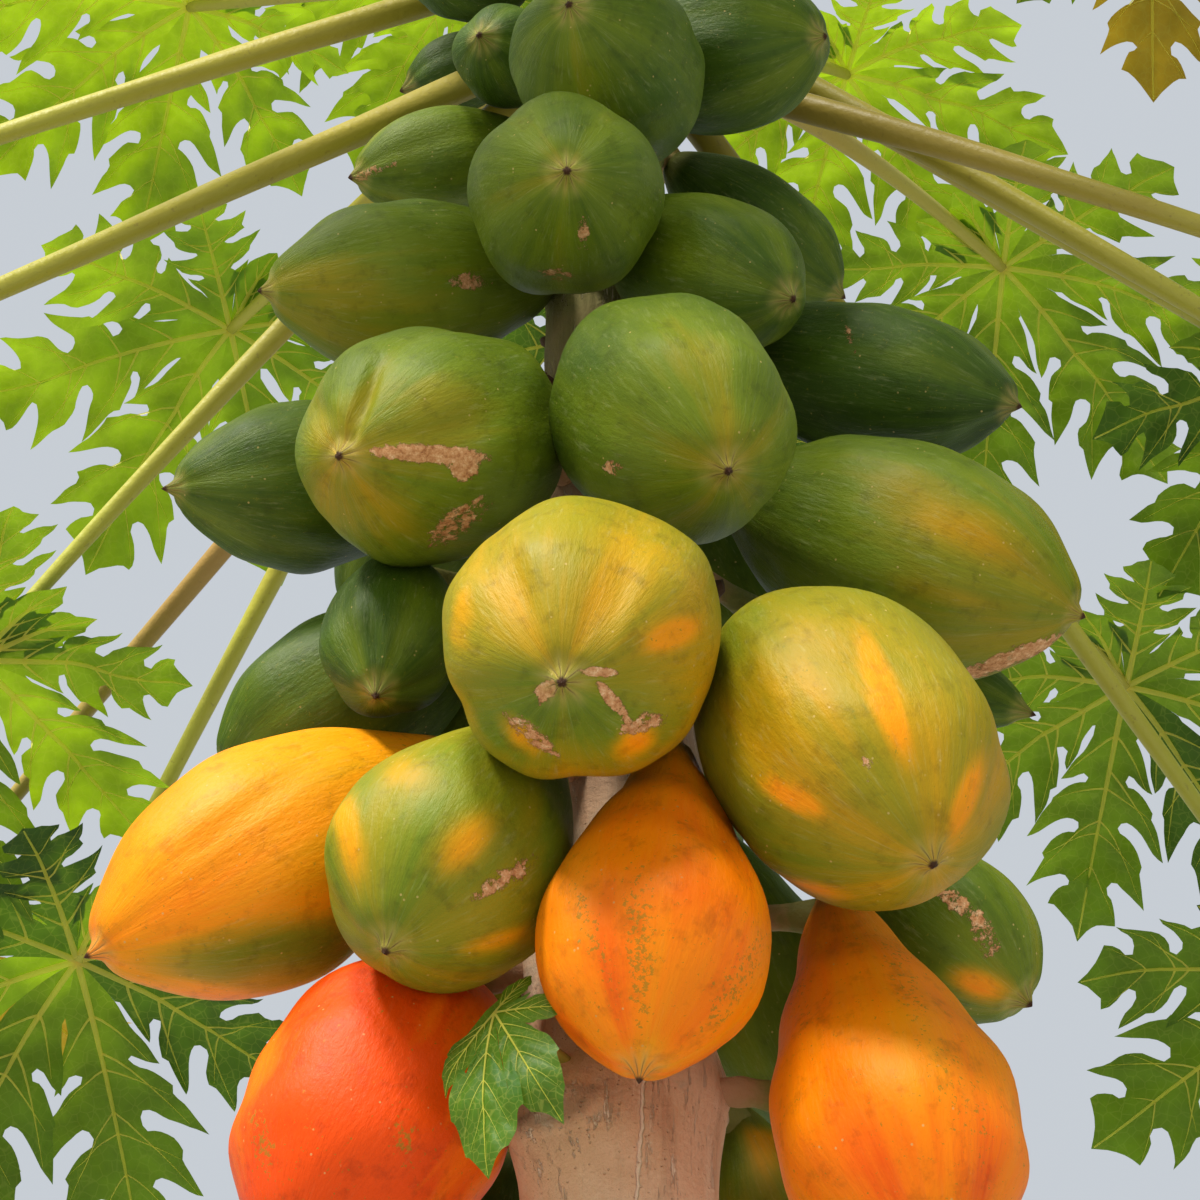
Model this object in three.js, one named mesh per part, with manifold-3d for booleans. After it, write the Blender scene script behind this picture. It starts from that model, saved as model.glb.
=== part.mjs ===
// A papaya tree in fruit: one bare trunk, a column of fruit round its upper part, and a crown of
// palmate leaves on long stalks. Millimetres, +Z up. The origin is the middle of the flat cut
// under the trunk, at ground level. Azimuths are degrees: 0 is the front (-Y), 90 the right (+X).
import * as THREE from 'three';
import { mergeVertices } from 'three/addons/utils/BufferGeometryUtils.js';
import Module from 'manifold-3d';

// Driving dimensions
const TREE_TOP = 3010; // top of the trunk
const GROUND_RADIUS = 76; // the trunk's radius at the ground, without its flare
const TAPER = 0.0135; // radius lost for each millimetre of height
const FLARE = 42; // what the root flare adds to the radius at the ground
const FLARE_HEIGHT = 90; // the height in which the flare falls to about a third
const TIP_LENGTH = 110; // the rounded top of the trunk
const TIP_ROUNDING = 0.85; // how much of the trunk's section is lost over that length
const GAP = 0.35; // clearance between pieces that touch
const STALK_RADIUS = 8; // a fruit's own stalk
const LEAF_STALK = { foot: 13, middle: 9, end: 6.5 }; // radii of a leaf's stalk
const BLADE_THICKNESS = 6;

// The trunk wanders a little off the plumb line on its way up.
const TRUNK_LINE = new THREE.CatmullRomCurve3([
  new THREE.Vector3(0, 0, 0),
  new THREE.Vector3(12, 8, 700),
  new THREE.Vector3(15, 6, 1400),
  new THREE.Vector3(10, 0, 2000),
  new THREE.Vector3(5, 0, 2500),
  new THREE.Vector3(6, 0, TREE_TOP),
]);
const TRUNK_HEIGHTS = [
  0, 30, 75, 140, 250, 500, 900, 1300, 1700, 2050, 2400, 2700,
  TREE_TOP - TIP_LENGTH, TREE_TOP - 50, TREE_TOP - 12, TREE_TOP,
];
const TRUNK_SIDES = 20;
const FRUIT_SIDES = 10;
const FRUIT_RIDGE = 0.025; // how far a fruit's five ridges stand out, as a share of its radius
const FRUIT_TIP = 0.03; // the radius of a fruit's blunt end, as a share of its width
const LEAF_STALK_SIDES = 5;

// Each fruit: the azimuth, reach and height of its middle, its droop below the horizontal, its turn
// away from straight outwards, its length and width, and its outline.
const FRUITS = {
  fruit_01: { at: -57, out: 120, up: 2845, down: 38, turn: 0, long: 120, wide: 84, form: 'round' },
  fruit_02: { at: -94, out: 110, up: 2812, down: 25, turn: 0, long: 96, wide: 58, form: 'long' },
  fruit_03: { at: -38, out: 112, up: 2703, down: 35, turn: 14, long: 110, wide: 70, form: 'long' },
  fruit_04: { at: 0, out: 140, up: 2622, down: 24, turn: -18, long: 176, wide: 124, form: 'round' },
  fruit_05: { at: -10, out: 158, up: 2474, down: 42, turn: 12, long: 180, wide: 122, form: 'round' },
  fruit_06: { at: 44, out: 120, up: 2711, down: 22, turn: 18, long: 160, wide: 112, form: 'round' },
  fruit_07: { at: -72, out: 121, up: 2650, down: 26, turn: -8, long: 140, wide: 80, form: 'long' },
  fruit_08: { at: -68, out: 142, up: 2506, down: 16, turn: -12, long: 200, wide: 112, form: 'long' },
  fruit_09: { at: 37, out: 108, up: 2479, down: 46, turn: 22, long: 168, wide: 100, form: 'round' },
  fruit_10: { at: 112, out: 118, up: 2672, down: 34, turn: 0, long: 160, wide: 84, form: 'long' },
  fruit_11: { at: -37, out: 175, up: 2269, down: 43, turn: -3, long: 195, wide: 138, form: 'round' },
  fruit_12: { at: 12, out: 165, up: 2269, down: 60, turn: 24, long: 195, wide: 134, form: 'round' },
  fruit_13: { at: 84, out: 172, up: 2452, down: 33, turn: -14, long: 230, wide: 104, form: 'long' },
  fruit_14: { at: 78, out: 183, up: 2276, down: 31, turn: 7, long: 236, wide: 144, form: 'long' },
  fruit_15: { at: -80, out: 190, up: 2342, down: 24, turn: 12, long: 200, wide: 108, form: 'point' },
  fruit_16: { at: -62, out: 146, up: 2183, down: 70, turn: 52, long: 146, wide: 80, form: 'long' },
  fruit_17: { at: -5, out: 212, up: 2056, down: 54, turn: -4, long: 200, wide: 142, form: 'round' },
  fruit_18: { at: -97, out: 162, up: 2210, down: 35, turn: 0, long: 190, wide: 108, form: 'long' },
  fruit_19: { at: -78, out: 194, up: 2044, down: 41, turn: 0, long: 250, wide: 136, form: 'point' },
  fruit_20: { at: -35, out: 139, up: 2002, down: 64, turn: -21, long: 204, wide: 127, form: 'pear' },
  fruit_21: { at: 8, out: 130, up: 1944, down: 84, turn: -70, long: 212, wide: 118, form: 'drop' },
  fruit_22: { at: 38, out: 196, up: 2031, down: 66, turn: 8, long: 224, wide: 148, form: 'round' },
  fruit_23: { at: 96, out: 172, up: 2050, down: 50, turn: -10, long: 180, wide: 100, form: 'pear' },
  fruit_24: { at: 110, out: 190, up: 2273, down: 32, turn: -30, long: 200, wide: 60, form: 'long' },
  fruit_25: { at: -80, out: 131, up: 1888, down: 68, turn: 8, long: 200, wide: 138, form: 'round' },
  fruit_26: { at: 68, out: 146, up: 1888, down: 80, turn: 0, long: 240, wide: 126, form: 'pear' },
  fruit_27: { at: -142, out: 135, up: 1850, down: 66, turn: 0, long: 180, wide: 104, form: 'pear' },
  fruit_28: { at: 138, out: 135, up: 1865, down: 66, turn: 0, long: 180, wide: 108, form: 'pear' },
  fruit_29: { at: -128, out: 152, up: 1995, down: 55, turn: 0, long: 200, wide: 112, form: 'pear' },
  fruit_30: { at: -165, out: 140, up: 2060, down: 60, turn: 0, long: 190, wide: 114, form: 'pear' },
  fruit_31: { at: 140, out: 145, up: 2060, down: 58, turn: 0, long: 190, wide: 114, form: 'pear' },
  fruit_32: { at: -140, out: 150, up: 2235, down: 45, turn: 0, long: 195, wide: 110, form: 'round' },
  fruit_33: { at: 168, out: 142, up: 2235, down: 48, turn: 0, long: 190, wide: 112, form: 'round' },
  fruit_34: { at: -125, out: 145, up: 2420, down: 38, turn: 0, long: 180, wide: 104, form: 'long' },
  fruit_35: { at: 140, out: 132, up: 2412, down: 42, turn: 0, long: 180, wide: 108, form: 'round' },
};

// The fruits that are no longer green.
const RIPENING = {
  turning: ['fruit_17', 'fruit_20', 'fruit_22', 'fruit_28', 'fruit_29', 'fruit_31'],
  yellow: ['fruit_19'],
  orange: ['fruit_21', 'fruit_25', 'fruit_26'],
};

// Each fruit's outline: its radius, as a share of the greatest, at shares of the way from neck to tip.
const FORMS = {
  round: [[0, 0.22], [0.11, 0.63], [0.29, 0.92], [0.52, 1], [0.76, 0.86], [0.93, 0.44]],
  long: [[0, 0.24], [0.13, 0.58], [0.32, 0.88], [0.54, 1], [0.76, 0.84], [0.93, 0.38]],
  point: [[0, 0.24], [0.15, 0.55], [0.35, 0.88], [0.56, 1], [0.76, 0.8], [0.92, 0.36]],
  pear: [[0, 0.2], [0.17, 0.46], [0.38, 0.78], [0.6, 1], [0.8, 0.86], [0.94, 0.42]],
  drop: [[0, 0.2], [0.17, 0.46], [0.38, 0.78], [0.59, 1], [0.78, 0.83], [0.93, 0.35]],
};

// Each leaf: the azimuth, reach and height of the middle of its blade, the height of its stalk's foot
// on the trunk, how far the stalk arches, the length of its longest lobe, its outward droop and form.
const LEAVES = {
  leaf_01: { at: -86, out: 620, up: 2560, foot: 2935, arch: 20, blade: 250, droop: 30, form: 'grown' },
  leaf_02: { at: -78, out: 580, up: 2286, foot: 2825, arch: 5, blade: 240, droop: 40, form: 'grown' },
  leaf_03: { at: -119, out: 525, up: 2440, foot: 2850, arch: 35, blade: 230, droop: 25, form: 'grown' },
  leaf_04: { at: -133, out: 755, up: 2385, foot: 2750, arch: 10, blade: 255, droop: 20, form: 'grown' },
  leaf_05: { at: -140, out: 630, up: 2335, foot: 2870, arch: 60, blade: 240, droop: 25, form: 'grown' },
  leaf_06: { at: -140, out: 518, up: 2950, foot: 2910, arch: 10, blade: 235, droop: 15, form: 'grown' },
  leaf_07: { at: -119, out: 422, up: 3161, foot: 2955, arch: 0, blade: 220, droop: 5, form: 'grown' },
  leaf_08: { at: -153, out: 340, up: 3354, foot: 2978, arch: 0, blade: 205, droop: 5, form: 'grown' },
  leaf_09: { at: 94, out: 600, up: 2392, foot: 2885, arch: 35, blade: 240, droop: 35, form: 'grown' },
  leaf_10: { at: 86, out: 640, up: 2430, foot: 2800, arch: 40, blade: 250, droop: 30, form: 'grown' },
  leaf_11: { at: 108, out: 545, up: 2650, foot: 2915, arch: 0, blade: 235, droop: 25, form: 'grown' },
  leaf_12: { at: 134, out: 480, up: 2960, foot: 2872, arch: 70, blade: 230, droop: 15, form: 'grown' },
  leaf_13: { at: 145, out: 388, up: 3212, foot: 2930, arch: 0, blade: 210, droop: 5, form: 'grown' },
  leaf_14: { at: 122, out: 570, up: 2195, foot: 2840, arch: 20, blade: 240, droop: 35, form: 'grown' },
  leaf_15: { at: 137, out: 620, up: 2584, foot: 2760, arch: 20, blade: 225, droop: 20, form: 'grown' },
  leaf_16: { at: 83, out: 430, up: 3010, foot: 2945, arch: 0, blade: 230, droop: 10, form: 'grown' },
  leaf_17: { at: -31, out: 530, up: 2880, foot: 2866, arch: 50, blade: 265, droop: 25, form: 'grown' },
  leaf_18: { at: 38, out: 530, up: 2930, foot: 2845, arch: 50, blade: 265, droop: 25, form: 'grown' },
  leaf_19: { at: 176, out: 450, up: 3000, foot: 2860, arch: 30, blade: 260, droop: 15, form: 'grown' },
  leaf_20: { at: 2, out: 540, up: 3010, foot: 2890, arch: 50, blade: 265, droop: 20, form: 'grown' },
  leaf_21: { at: -25, out: 330, up: 3290, foot: 2940, arch: 0, blade: 220, droop: 5, form: 'grown' },
  leaf_22: { at: 48, out: 320, up: 3340, foot: 2955, arch: 0, blade: 210, droop: 5, form: 'grown' },
  young_leaf: { at: -30, out: 127, up: 1893, foot: 1904, arch: 6, blade: 88, droop: 74, form: 'young' },
};

// A blade's outline: the direction of each lobe, from the one that points outwards, and its length as
// a share of blade; how far along and aside the points of half a lobe lie, as shares of its length;
// where two lobes part, as a share of blade, which a lobe's own third number replaces on the side of
// the next; and how thick its stalk is beside a grown leaf's.
const BLADES = {
  grown: {
    lobes: [[0, 1], [46, 0.96], [94, 0.8], [146, 0.52], [-146, 0.52], [-94, 0.8], [-46, 0.96]],
    side: [[0.46, 0.1], [0.62, 0.29], [0.72, 0.11], [0.85, 0.17]],
    sinus: 0.24,
    stalk: 1,
  },
  tender: {
    lobes: [[0, 1], [60, 0.9], [125, 0.6], [-125, 0.6], [-60, 0.9]],
    side: [[0.55, 0.22], [0.8, 0.14]],
    sinus: 0.3,
    stalk: 0.5,
  },
  young: {
    lobes: [[-2, 1, 0.6], [30, 0.82, 0.32], [80, 0.36, 0.24], [150, 0.36, 0.08], [-36, 0.5, 0.42]],
    side: [[0.5, 0.24], [0.76, 0.19]],
    sinus: 0.36,
    stalk: 0.3,
  },
};
const BLADE_BEND = 0.28; // how far the lobes' tips hang below the blade's middle, as a share of blade

// The bud on top of the trunk: its radius as a share of the greatest, at shares of its height.
const BUD = {
  height: 70,
  radius: 19,
  profile: [[0, 0.65], [0.25, 1], [0.6, 0.8], [1, 0.2]],
};
// Its young leaves stand upright, each lower and wider than the last and three eighths of a turn
// further round. The pairs run from the first to the last, and foot is a share of the bud's height.
const BUD_LEAVES = {
  count: 6,
  first: 60,
  step: 135,
  reach: [45, 175],
  up: [3275, 3150],
  blade: [70, 125],
  foot: [0.7, 0.35],
  bow: 12,
};

const COLOURS = {
  trunk: 0xa98a6c,
  green: 0x5f7a2a,
  turning: 0xa8961f,
  yellow: 0xe0901a,
  orange: 0xe86a12,
  leaf: 0x6f9a24,
};

const wasm = await Module();
wasm.setup();

const radians = THREE.MathUtils.degToRad;

// The unit vector that points outwards at an azimuth.
function outwards(azimuth) {
  return new THREE.Vector3(Math.sin(radians(azimuth)), -Math.cos(radians(azimuth)), 0);
}

// One level of the trunk: its middle and its radius.
function trunkRow(height) {
  const halvings = 30;
  let low = 0;
  let high = 1;
  for (let step = 0; step < halvings; step++) {
    const half = (low + high) / 2;
    if (TRUNK_LINE.getPoint(half).z < height) {
      low = half;
    } else {
      high = half;
    }
  }
  const middle = TRUNK_LINE.getPoint(low).setZ(height);
  const body = GROUND_RADIUS - TAPER * height + FLARE * Math.exp(-height / FLARE_HEIGHT);
  const intoTip = Math.max(0, (height - (TREE_TOP - TIP_LENGTH)) / TIP_LENGTH);
  return { height, middle, radius: body * Math.sqrt(1 - TIP_ROUNDING * intoTip * intoTip) };
}

const TRUNK_ROWS = TRUNK_HEIGHTS.map(trunkRow);

// The trunk between its levels, which are joined straight.
function trunkAt(height) {
  const above = Math.max(1, TRUNK_ROWS.findIndex((row) => row.height >= height));
  const [from, to] = [TRUNK_ROWS[above - 1], TRUNK_ROWS[above]];
  const along = (height - from.height) / (to.height - from.height);
  return {
    middle: from.middle.clone().lerp(to.middle, along),
    radius: THREE.MathUtils.lerp(from.radius, to.radius, along),
  };
}

// A point outside the trunk, in azimuth, reach from the trunk's middle, and height.
function around(azimuth, reach, height) {
  const { middle } = trunkAt(Math.min(height, TREE_TOP));
  return middle.setZ(height).addScaledVector(outwards(azimuth), reach);
}

// A closed round body along a line of points, with a radius at each, made from a lathe's rows.
// A ridge makes every other side stand out by that share of the radius.
function bodyAlong(points, radii, sides, firstTangent, ridge = 0) {
  const rows = points.length + 2;
  const profile = Array.from({ length: rows }, (_, row) => new THREE.Vector2(0, row));
  const geometry = new THREE.LatheGeometry(profile, sides);
  const position = geometry.attributes.position;
  const frames = framesAlong(points, firstTangent);
  for (let vertex = 0; vertex < position.count; vertex++) {
    const row = vertex % rows;
    const index = THREE.MathUtils.clamp(row - 1, 0, points.length - 1);
    const side = Math.floor(vertex / rows);
    const swell = 1 + ridge * Math.cos(side * Math.PI);
    const radius = row === 0 || row === rows - 1 ? 0 : radii[index] * swell;
    const angle = (side / sides) * 2 * Math.PI;
    const place = points[index]
      .clone()
      .addScaledVector(frames[index].normal, radius * Math.cos(angle))
      .addScaledVector(frames[index].binormal, radius * Math.sin(angle));
    position.setXYZ(vertex, place.x, place.y, place.z);
  }
  return geometry;
}

// At each point of a line, two directions square to it that turn as little as they can on the way.
function framesAlong(points, firstTangent) {
  const tangents = points.map((_, i) => {
    const from = points[Math.max(i - 1, 0)];
    const to = points[Math.min(i + 1, points.length - 1)];
    return to.clone().sub(from).normalize();
  });
  const first = firstTangent ?? tangents[0];
  tangents[0] = first;
  const isUpright = Math.abs(first.z) > 0.9;
  let normal = isUpright ? new THREE.Vector3(1, 0, 0) : new THREE.Vector3(0, 0, 1);
  return tangents.map((tangent) => {
    normal = normal.clone().addScaledVector(tangent, -normal.dot(tangent)).normalize();
    return { normal, binormal: new THREE.Vector3().crossVectors(tangent, normal) };
  });
}

// How far out the faceted trunk reaches at an azimuth, over the width of what stands on it there.
function wallReach(azimuth, height, halfWidth) {
  const radius = Math.max(trunkAt(height - halfWidth).radius, trunkAt(height + halfWidth).radius);
  const facet = (2 * Math.PI) / TRUNK_SIDES;
  const spread = halfWidth / radius;
  const samples = 8;
  let reach = 0;
  for (let i = -samples; i <= samples; i++) {
    const aside = (spread * i) / samples;
    const angle = radians(azimuth) + aside;
    const inFacet = angle - facet * Math.floor(angle / facet) - facet / 2;
    const wall = (radius * Math.cos(facet / 2)) / Math.cos(inFacet);
    reach = Math.max(reach, wall * Math.cos(aside));
  }
  return reach;
}

// A named mesh that stands at its foot.
function meshOf(name, geometry, colour, foot) {
  const material = new THREE.MeshStandardMaterial({
    color: COLOURS[colour],
    roughness: 0.6,
    metalness: 0,
  });
  const mesh = new THREE.Mesh(geometry, material);
  mesh.name = name;
  geometry.translate(-foot.x, -foot.y, -foot.z);
  mesh.position.copy(foot);
  return mesh;
}

function makeTrunk() {
  const points = TRUNK_ROWS.map((row) => row.middle);
  const radii = TRUNK_ROWS.map((row) => row.radius);
  const up = new THREE.Vector3(0, 0, 1);
  return meshOf('trunk', bodyAlong(points, radii, TRUNK_SIDES, up), 'trunk', points[0]);
}

// The direction from a fruit's neck to its tip.
function fruitAxis({ at, turn, down }) {
  const flat = outwards(at + turn).multiplyScalar(Math.cos(radians(down)));
  return flat.setZ(-Math.sin(radians(down)));
}

function makeFruit(name, fruit) {
  const axis = fruitAxis(fruit);
  const middle = around(fruit.at, fruit.out, fruit.up);
  const neck = middle.clone().addScaledVector(axis, -fruit.long / 2);
  const neckFlat = neck.clone().sub(trunkAt(neck.z).middle);
  const azimuth = THREE.MathUtils.radToDeg(Math.atan2(neckFlat.x, -neckFlat.y));
  const footHeight = neck.z + STALK_RADIUS;
  const foot = around(azimuth, wallReach(azimuth, footHeight, STALK_RADIUS) + GAP, footHeight);
  const points = [foot];
  const radii = [STALK_RADIUS];
  for (const [along, share] of FORMS[fruit.form]) {
    points.push(neck.clone().addScaledVector(axis, along * fruit.long));
    radii.push((share * fruit.wide) / 2);
  }
  points.push(neck.clone().addScaledVector(axis, fruit.long));
  radii.push(fruit.wide * FRUIT_TIP);
  const body = bodyAlong(points, radii, FRUIT_SIDES, outwards(azimuth), FRUIT_RIDGE);
  const ripeness = Object.keys(RIPENING).find((stage) => RIPENING[stage].includes(name));
  return meshOf(name, body, ripeness ?? 'green', foot);
}

// A blade's outline in its own plane: x runs outwards from where the stalk meets it.
function bladeShape(blade, { lobes, side, sinus }) {
  const outline = [];
  const centre = new THREE.Vector2();
  lobes.forEach(([direction, share, part = sinus * (0.5 + share / 2)], i) => {
    const length = blade * share;
    const [next] = lobes[(i + 1) % lobes.length];
    const gap = ((next - direction + 540) % 360) - 180;
    const place = (along, aside) =>
      new THREE.Vector2(length * along, length * aside).rotateAround(centre, radians(direction));
    side.forEach(([along, aside]) => outline.push(place(along, -aside)));
    outline.push(place(1, 0));
    [...side].reverse().forEach(([along, aside]) => outline.push(place(along, aside)));
    const notch = new THREE.Vector2(blade * part, 0);
    outline.push(notch.rotateAround(centre, radians(direction + gap / 2)));
  });
  return new THREE.Shape(outline);
}

function solidOf(geometry) {
  const bare = geometry.clone();
  bare.deleteAttribute('normal');
  bare.deleteAttribute('uv');
  const merged = mergeVertices(bare, 1e-3);
  return new wasm.Manifold(
    new wasm.Mesh({
      numProp: 3,
      vertProperties: merged.attributes.position.array,
      triVerts: new Uint32Array(merged.index.array),
    }),
  );
}

function geometryOf(solid) {
  const mesh = solid.getMesh();
  const geometry = new THREE.BufferGeometry();
  const vertices = new Float32Array(mesh.vertProperties);
  geometry.setAttribute('position', new THREE.BufferAttribute(vertices, 3));
  geometry.setIndex(new THREE.BufferAttribute(mesh.triVerts, 1));
  return geometry;
}

// A blade, bent down towards its tips, drooping outwards by an angle and standing at a place.
function bladeAt(place, azimuth, blade, droop, form) {
  const geometry = new THREE.ExtrudeGeometry(bladeShape(blade, form), {
    depth: BLADE_THICKNESS * Math.sqrt(form.stalk),
    bevelEnabled: false,
    steps: 1,
  });
  const position = geometry.attributes.position;
  for (let i = 0; i < position.count; i++) {
    const reach = Math.hypot(position.getX(i), position.getY(i)) / blade;
    position.setZ(i, position.getZ(i) - BLADE_BEND * blade * reach * reach);
  }
  geometry.rotateY(radians(droop));
  geometry.rotateZ(radians(azimuth - 90));
  geometry.translate(place.x, place.y, place.z);
  return geometry;
}

// A leaf's stalk along a line, thinning towards the blade.
function leafStalk(line, form, azimuth) {
  const steps = 4;
  const points = line.getPoints(steps);
  const radii = points.map((_, i) => {
    const along = (2 * i) / steps;
    const { foot, middle, end } = LEAF_STALK;
    const radius = along < 1 ? foot + (middle - foot) * along : middle + (end - middle) * (along - 1);
    return radius * form.stalk;
  });
  return solidOf(bodyAlong(points, radii, LEAF_STALK_SIDES, outwards(azimuth)));
}

function makeLeaf(name, leaf) {
  const form = BLADES[leaf.form];
  const middle = around(leaf.at, leaf.out, leaf.up);
  const footRadius = LEAF_STALK.foot * form.stalk;
  const foot = around(leaf.at, wallReach(leaf.at, leaf.foot, footRadius) + GAP, leaf.foot);
  const bend = foot.clone().lerp(middle, 0.5).add(new THREE.Vector3(0, 0, leaf.arch));
  const stalk = leafStalk(new THREE.QuadraticBezierCurve3(foot, bend, middle), form, leaf.at);
  const blade = solidOf(bladeAt(middle, leaf.at, leaf.blade, leaf.droop, form));
  return meshOf(name, geometryOf(stalk.add(blade)), 'leaf', foot);
}

function makeBud() {
  const { lerp } = THREE.MathUtils;
  const base = trunkAt(TREE_TOP).middle.setZ(TREE_TOP + GAP);
  const points = BUD.profile.map(([along]) => base.clone().setZ(base.z + along * BUD.height));
  const radii = BUD.profile.map(([, share]) => share * BUD.radius);
  let bud = solidOf(bodyAlong(points, radii, FRUIT_SIDES, new THREE.Vector3(0, 0, 1)));
  for (let i = 0; i < BUD_LEAVES.count; i++) {
    const along = i / (BUD_LEAVES.count - 1);
    const azimuth = BUD_LEAVES.first + i * BUD_LEAVES.step;
    const middle = around(azimuth, lerp(...BUD_LEAVES.reach, along), lerp(...BUD_LEAVES.up, along));
    const foot = base.clone().setZ(base.z + BUD.height * lerp(...BUD_LEAVES.foot, along));
    const bend = foot.clone().lerp(middle, 0.5).addScaledVector(outwards(azimuth), BUD_LEAVES.bow);
    bud = bud.add(leafStalk(new THREE.QuadraticBezierCurve3(foot, bend, middle), BLADES.tender, azimuth));
    bud = bud.add(solidOf(bladeAt(middle, azimuth, lerp(...BUD_LEAVES.blade, along), 0, BLADES.tender)));
  }
  return meshOf('bud', geometryOf(bud), 'leaf', base);
}

const tree = new THREE.Group();
const fruits = new THREE.Group();
const crown = new THREE.Group();
for (const [name, fruit] of Object.entries(FRUITS)) {
  fruits.add(makeFruit(name, fruit));
}
for (const [name, leaf] of Object.entries(LEAVES)) {
  crown.add(makeLeaf(name, leaf));
}
crown.add(makeBud());
tree.add(makeTrunk(), fruits, crown);

export default tree;
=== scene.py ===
"""A papaya tree in fruit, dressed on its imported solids: ridged fruits from green to orange, leaves cut
into fine lobes with raised veins, a scarred trunk and a tender bud. Metres, +Z up, ground at 0.
Azimuths are degrees: 0 is the front (-Y), 90 the right (+X)."""
import math

import bpy
import numpy as np
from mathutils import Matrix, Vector, geometry


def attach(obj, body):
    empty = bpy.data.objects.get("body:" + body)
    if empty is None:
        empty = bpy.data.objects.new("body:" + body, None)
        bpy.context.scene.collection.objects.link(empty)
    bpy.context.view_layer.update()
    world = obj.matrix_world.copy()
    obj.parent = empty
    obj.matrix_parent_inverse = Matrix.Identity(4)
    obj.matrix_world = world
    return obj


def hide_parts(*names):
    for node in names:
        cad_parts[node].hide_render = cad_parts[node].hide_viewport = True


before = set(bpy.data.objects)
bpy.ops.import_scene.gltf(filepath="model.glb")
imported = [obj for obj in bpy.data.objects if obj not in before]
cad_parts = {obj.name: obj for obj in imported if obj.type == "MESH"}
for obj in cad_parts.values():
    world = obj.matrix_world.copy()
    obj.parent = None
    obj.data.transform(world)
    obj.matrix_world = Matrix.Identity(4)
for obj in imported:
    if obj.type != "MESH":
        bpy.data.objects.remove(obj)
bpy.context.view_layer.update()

# The photograph's camera. Pixels below are in its frame.
PHOTO_SIDE = 1200
CAMERA_PLACE = (0, -1.30, 1.10)
CAMERA_PITCH = 42
CAMERA_FIELD = 24

# Trunk, with the solid's own line and radii.
TREE_TOP = 3.010
GROUND_RADIUS = 0.076
TAPER = 0.0135
FLARE = 0.042
FLARE_HEIGHT = 0.090
TIP_LENGTH = 0.110
TIP_ROUNDING = 0.85
TRUNK_SIDES = 112
TRUNK_STEP = 0.0042  # height between its rings of points
SCAR_STEP = 0.031  # height between one old leaf scar and the next
GOLDEN_TURN = 137.5  # from one leaf, or leaf scar, to the next one up
SCAR_SIZE = (0.024, 0.0105)  # half width and half height
SEAM = dict(across=0.021, up=1.856, slope=0.07, reach=0.30)  # the long pale seam up its front
BARK_WAVES = 0.0022
BARK_GRAIN = 0.0008
RIM_HEIGHT = 0.0016
SCAR_DEPTH = 0.0010
BUTTRESS = 0.010  # how far the folds of the flared foot stand out
BUTTRESS_ROOM = 0.012  # how far the foot draws in, so that its folds stay within the solid's reach

# Where stalks leave the trunk it swells: the size of each swelling, and its height as a share of that.
KNOB = dict(at=-47, up=1.880, size=0.017)  # where an old fruit stalk broke off
KNOB_SWELL = 1.5
FOOT_SWELL = 0.45
FRUIT_FOOT = 0.011
LEAF_FOOT = 0.013
STUB = dict(at=70, up=1.905, out=0.052, droop=0.010, radius=0.0078)  # a stalk whose fruit is gone
DRY_END_RADIUS = 0.0036
# Dry ends of old stalks between the fruits, their dark brown partly painted shade for the gaps there:
# azimuth, height, and how far out each reaches.
DRY_ENDS = [
    (-84, 2.462, .040), (-62, 2.440, .036), (-100, 2.478, .034), (-72, 2.415, .034), (-20, 2.400, .026),
    (6, 2.430, .024), (72, 2.330, .034), (96, 2.300, .032), (-26, 2.125, .024), (150, 2.360, .034),
    (-160, 2.180, .030), (120, 2.520, .030), (-140, 2.560, .028),
]

# Fruits
FRUIT_SIDES = 80
FRUIT_ROWS = 60
FINE_FRUITS = ("fruit_11", "fruit_17")  # those with a deep crease have twice the sides and rows
STALK_RADIUS = 0.008
RIDGE_COUNT = 5
TIP_CREASE = 0.014  # how far from the tip the furrows between the ridges deepen
TIP_NUB = 0.0022
TIP_DENT = 0.0020  # the shallow ring round the nub
FRUIT_SAG = 0.018  # how far a level fruit's middle sags, as a share of its length
SKIN_WAVES = 0.0012

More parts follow.
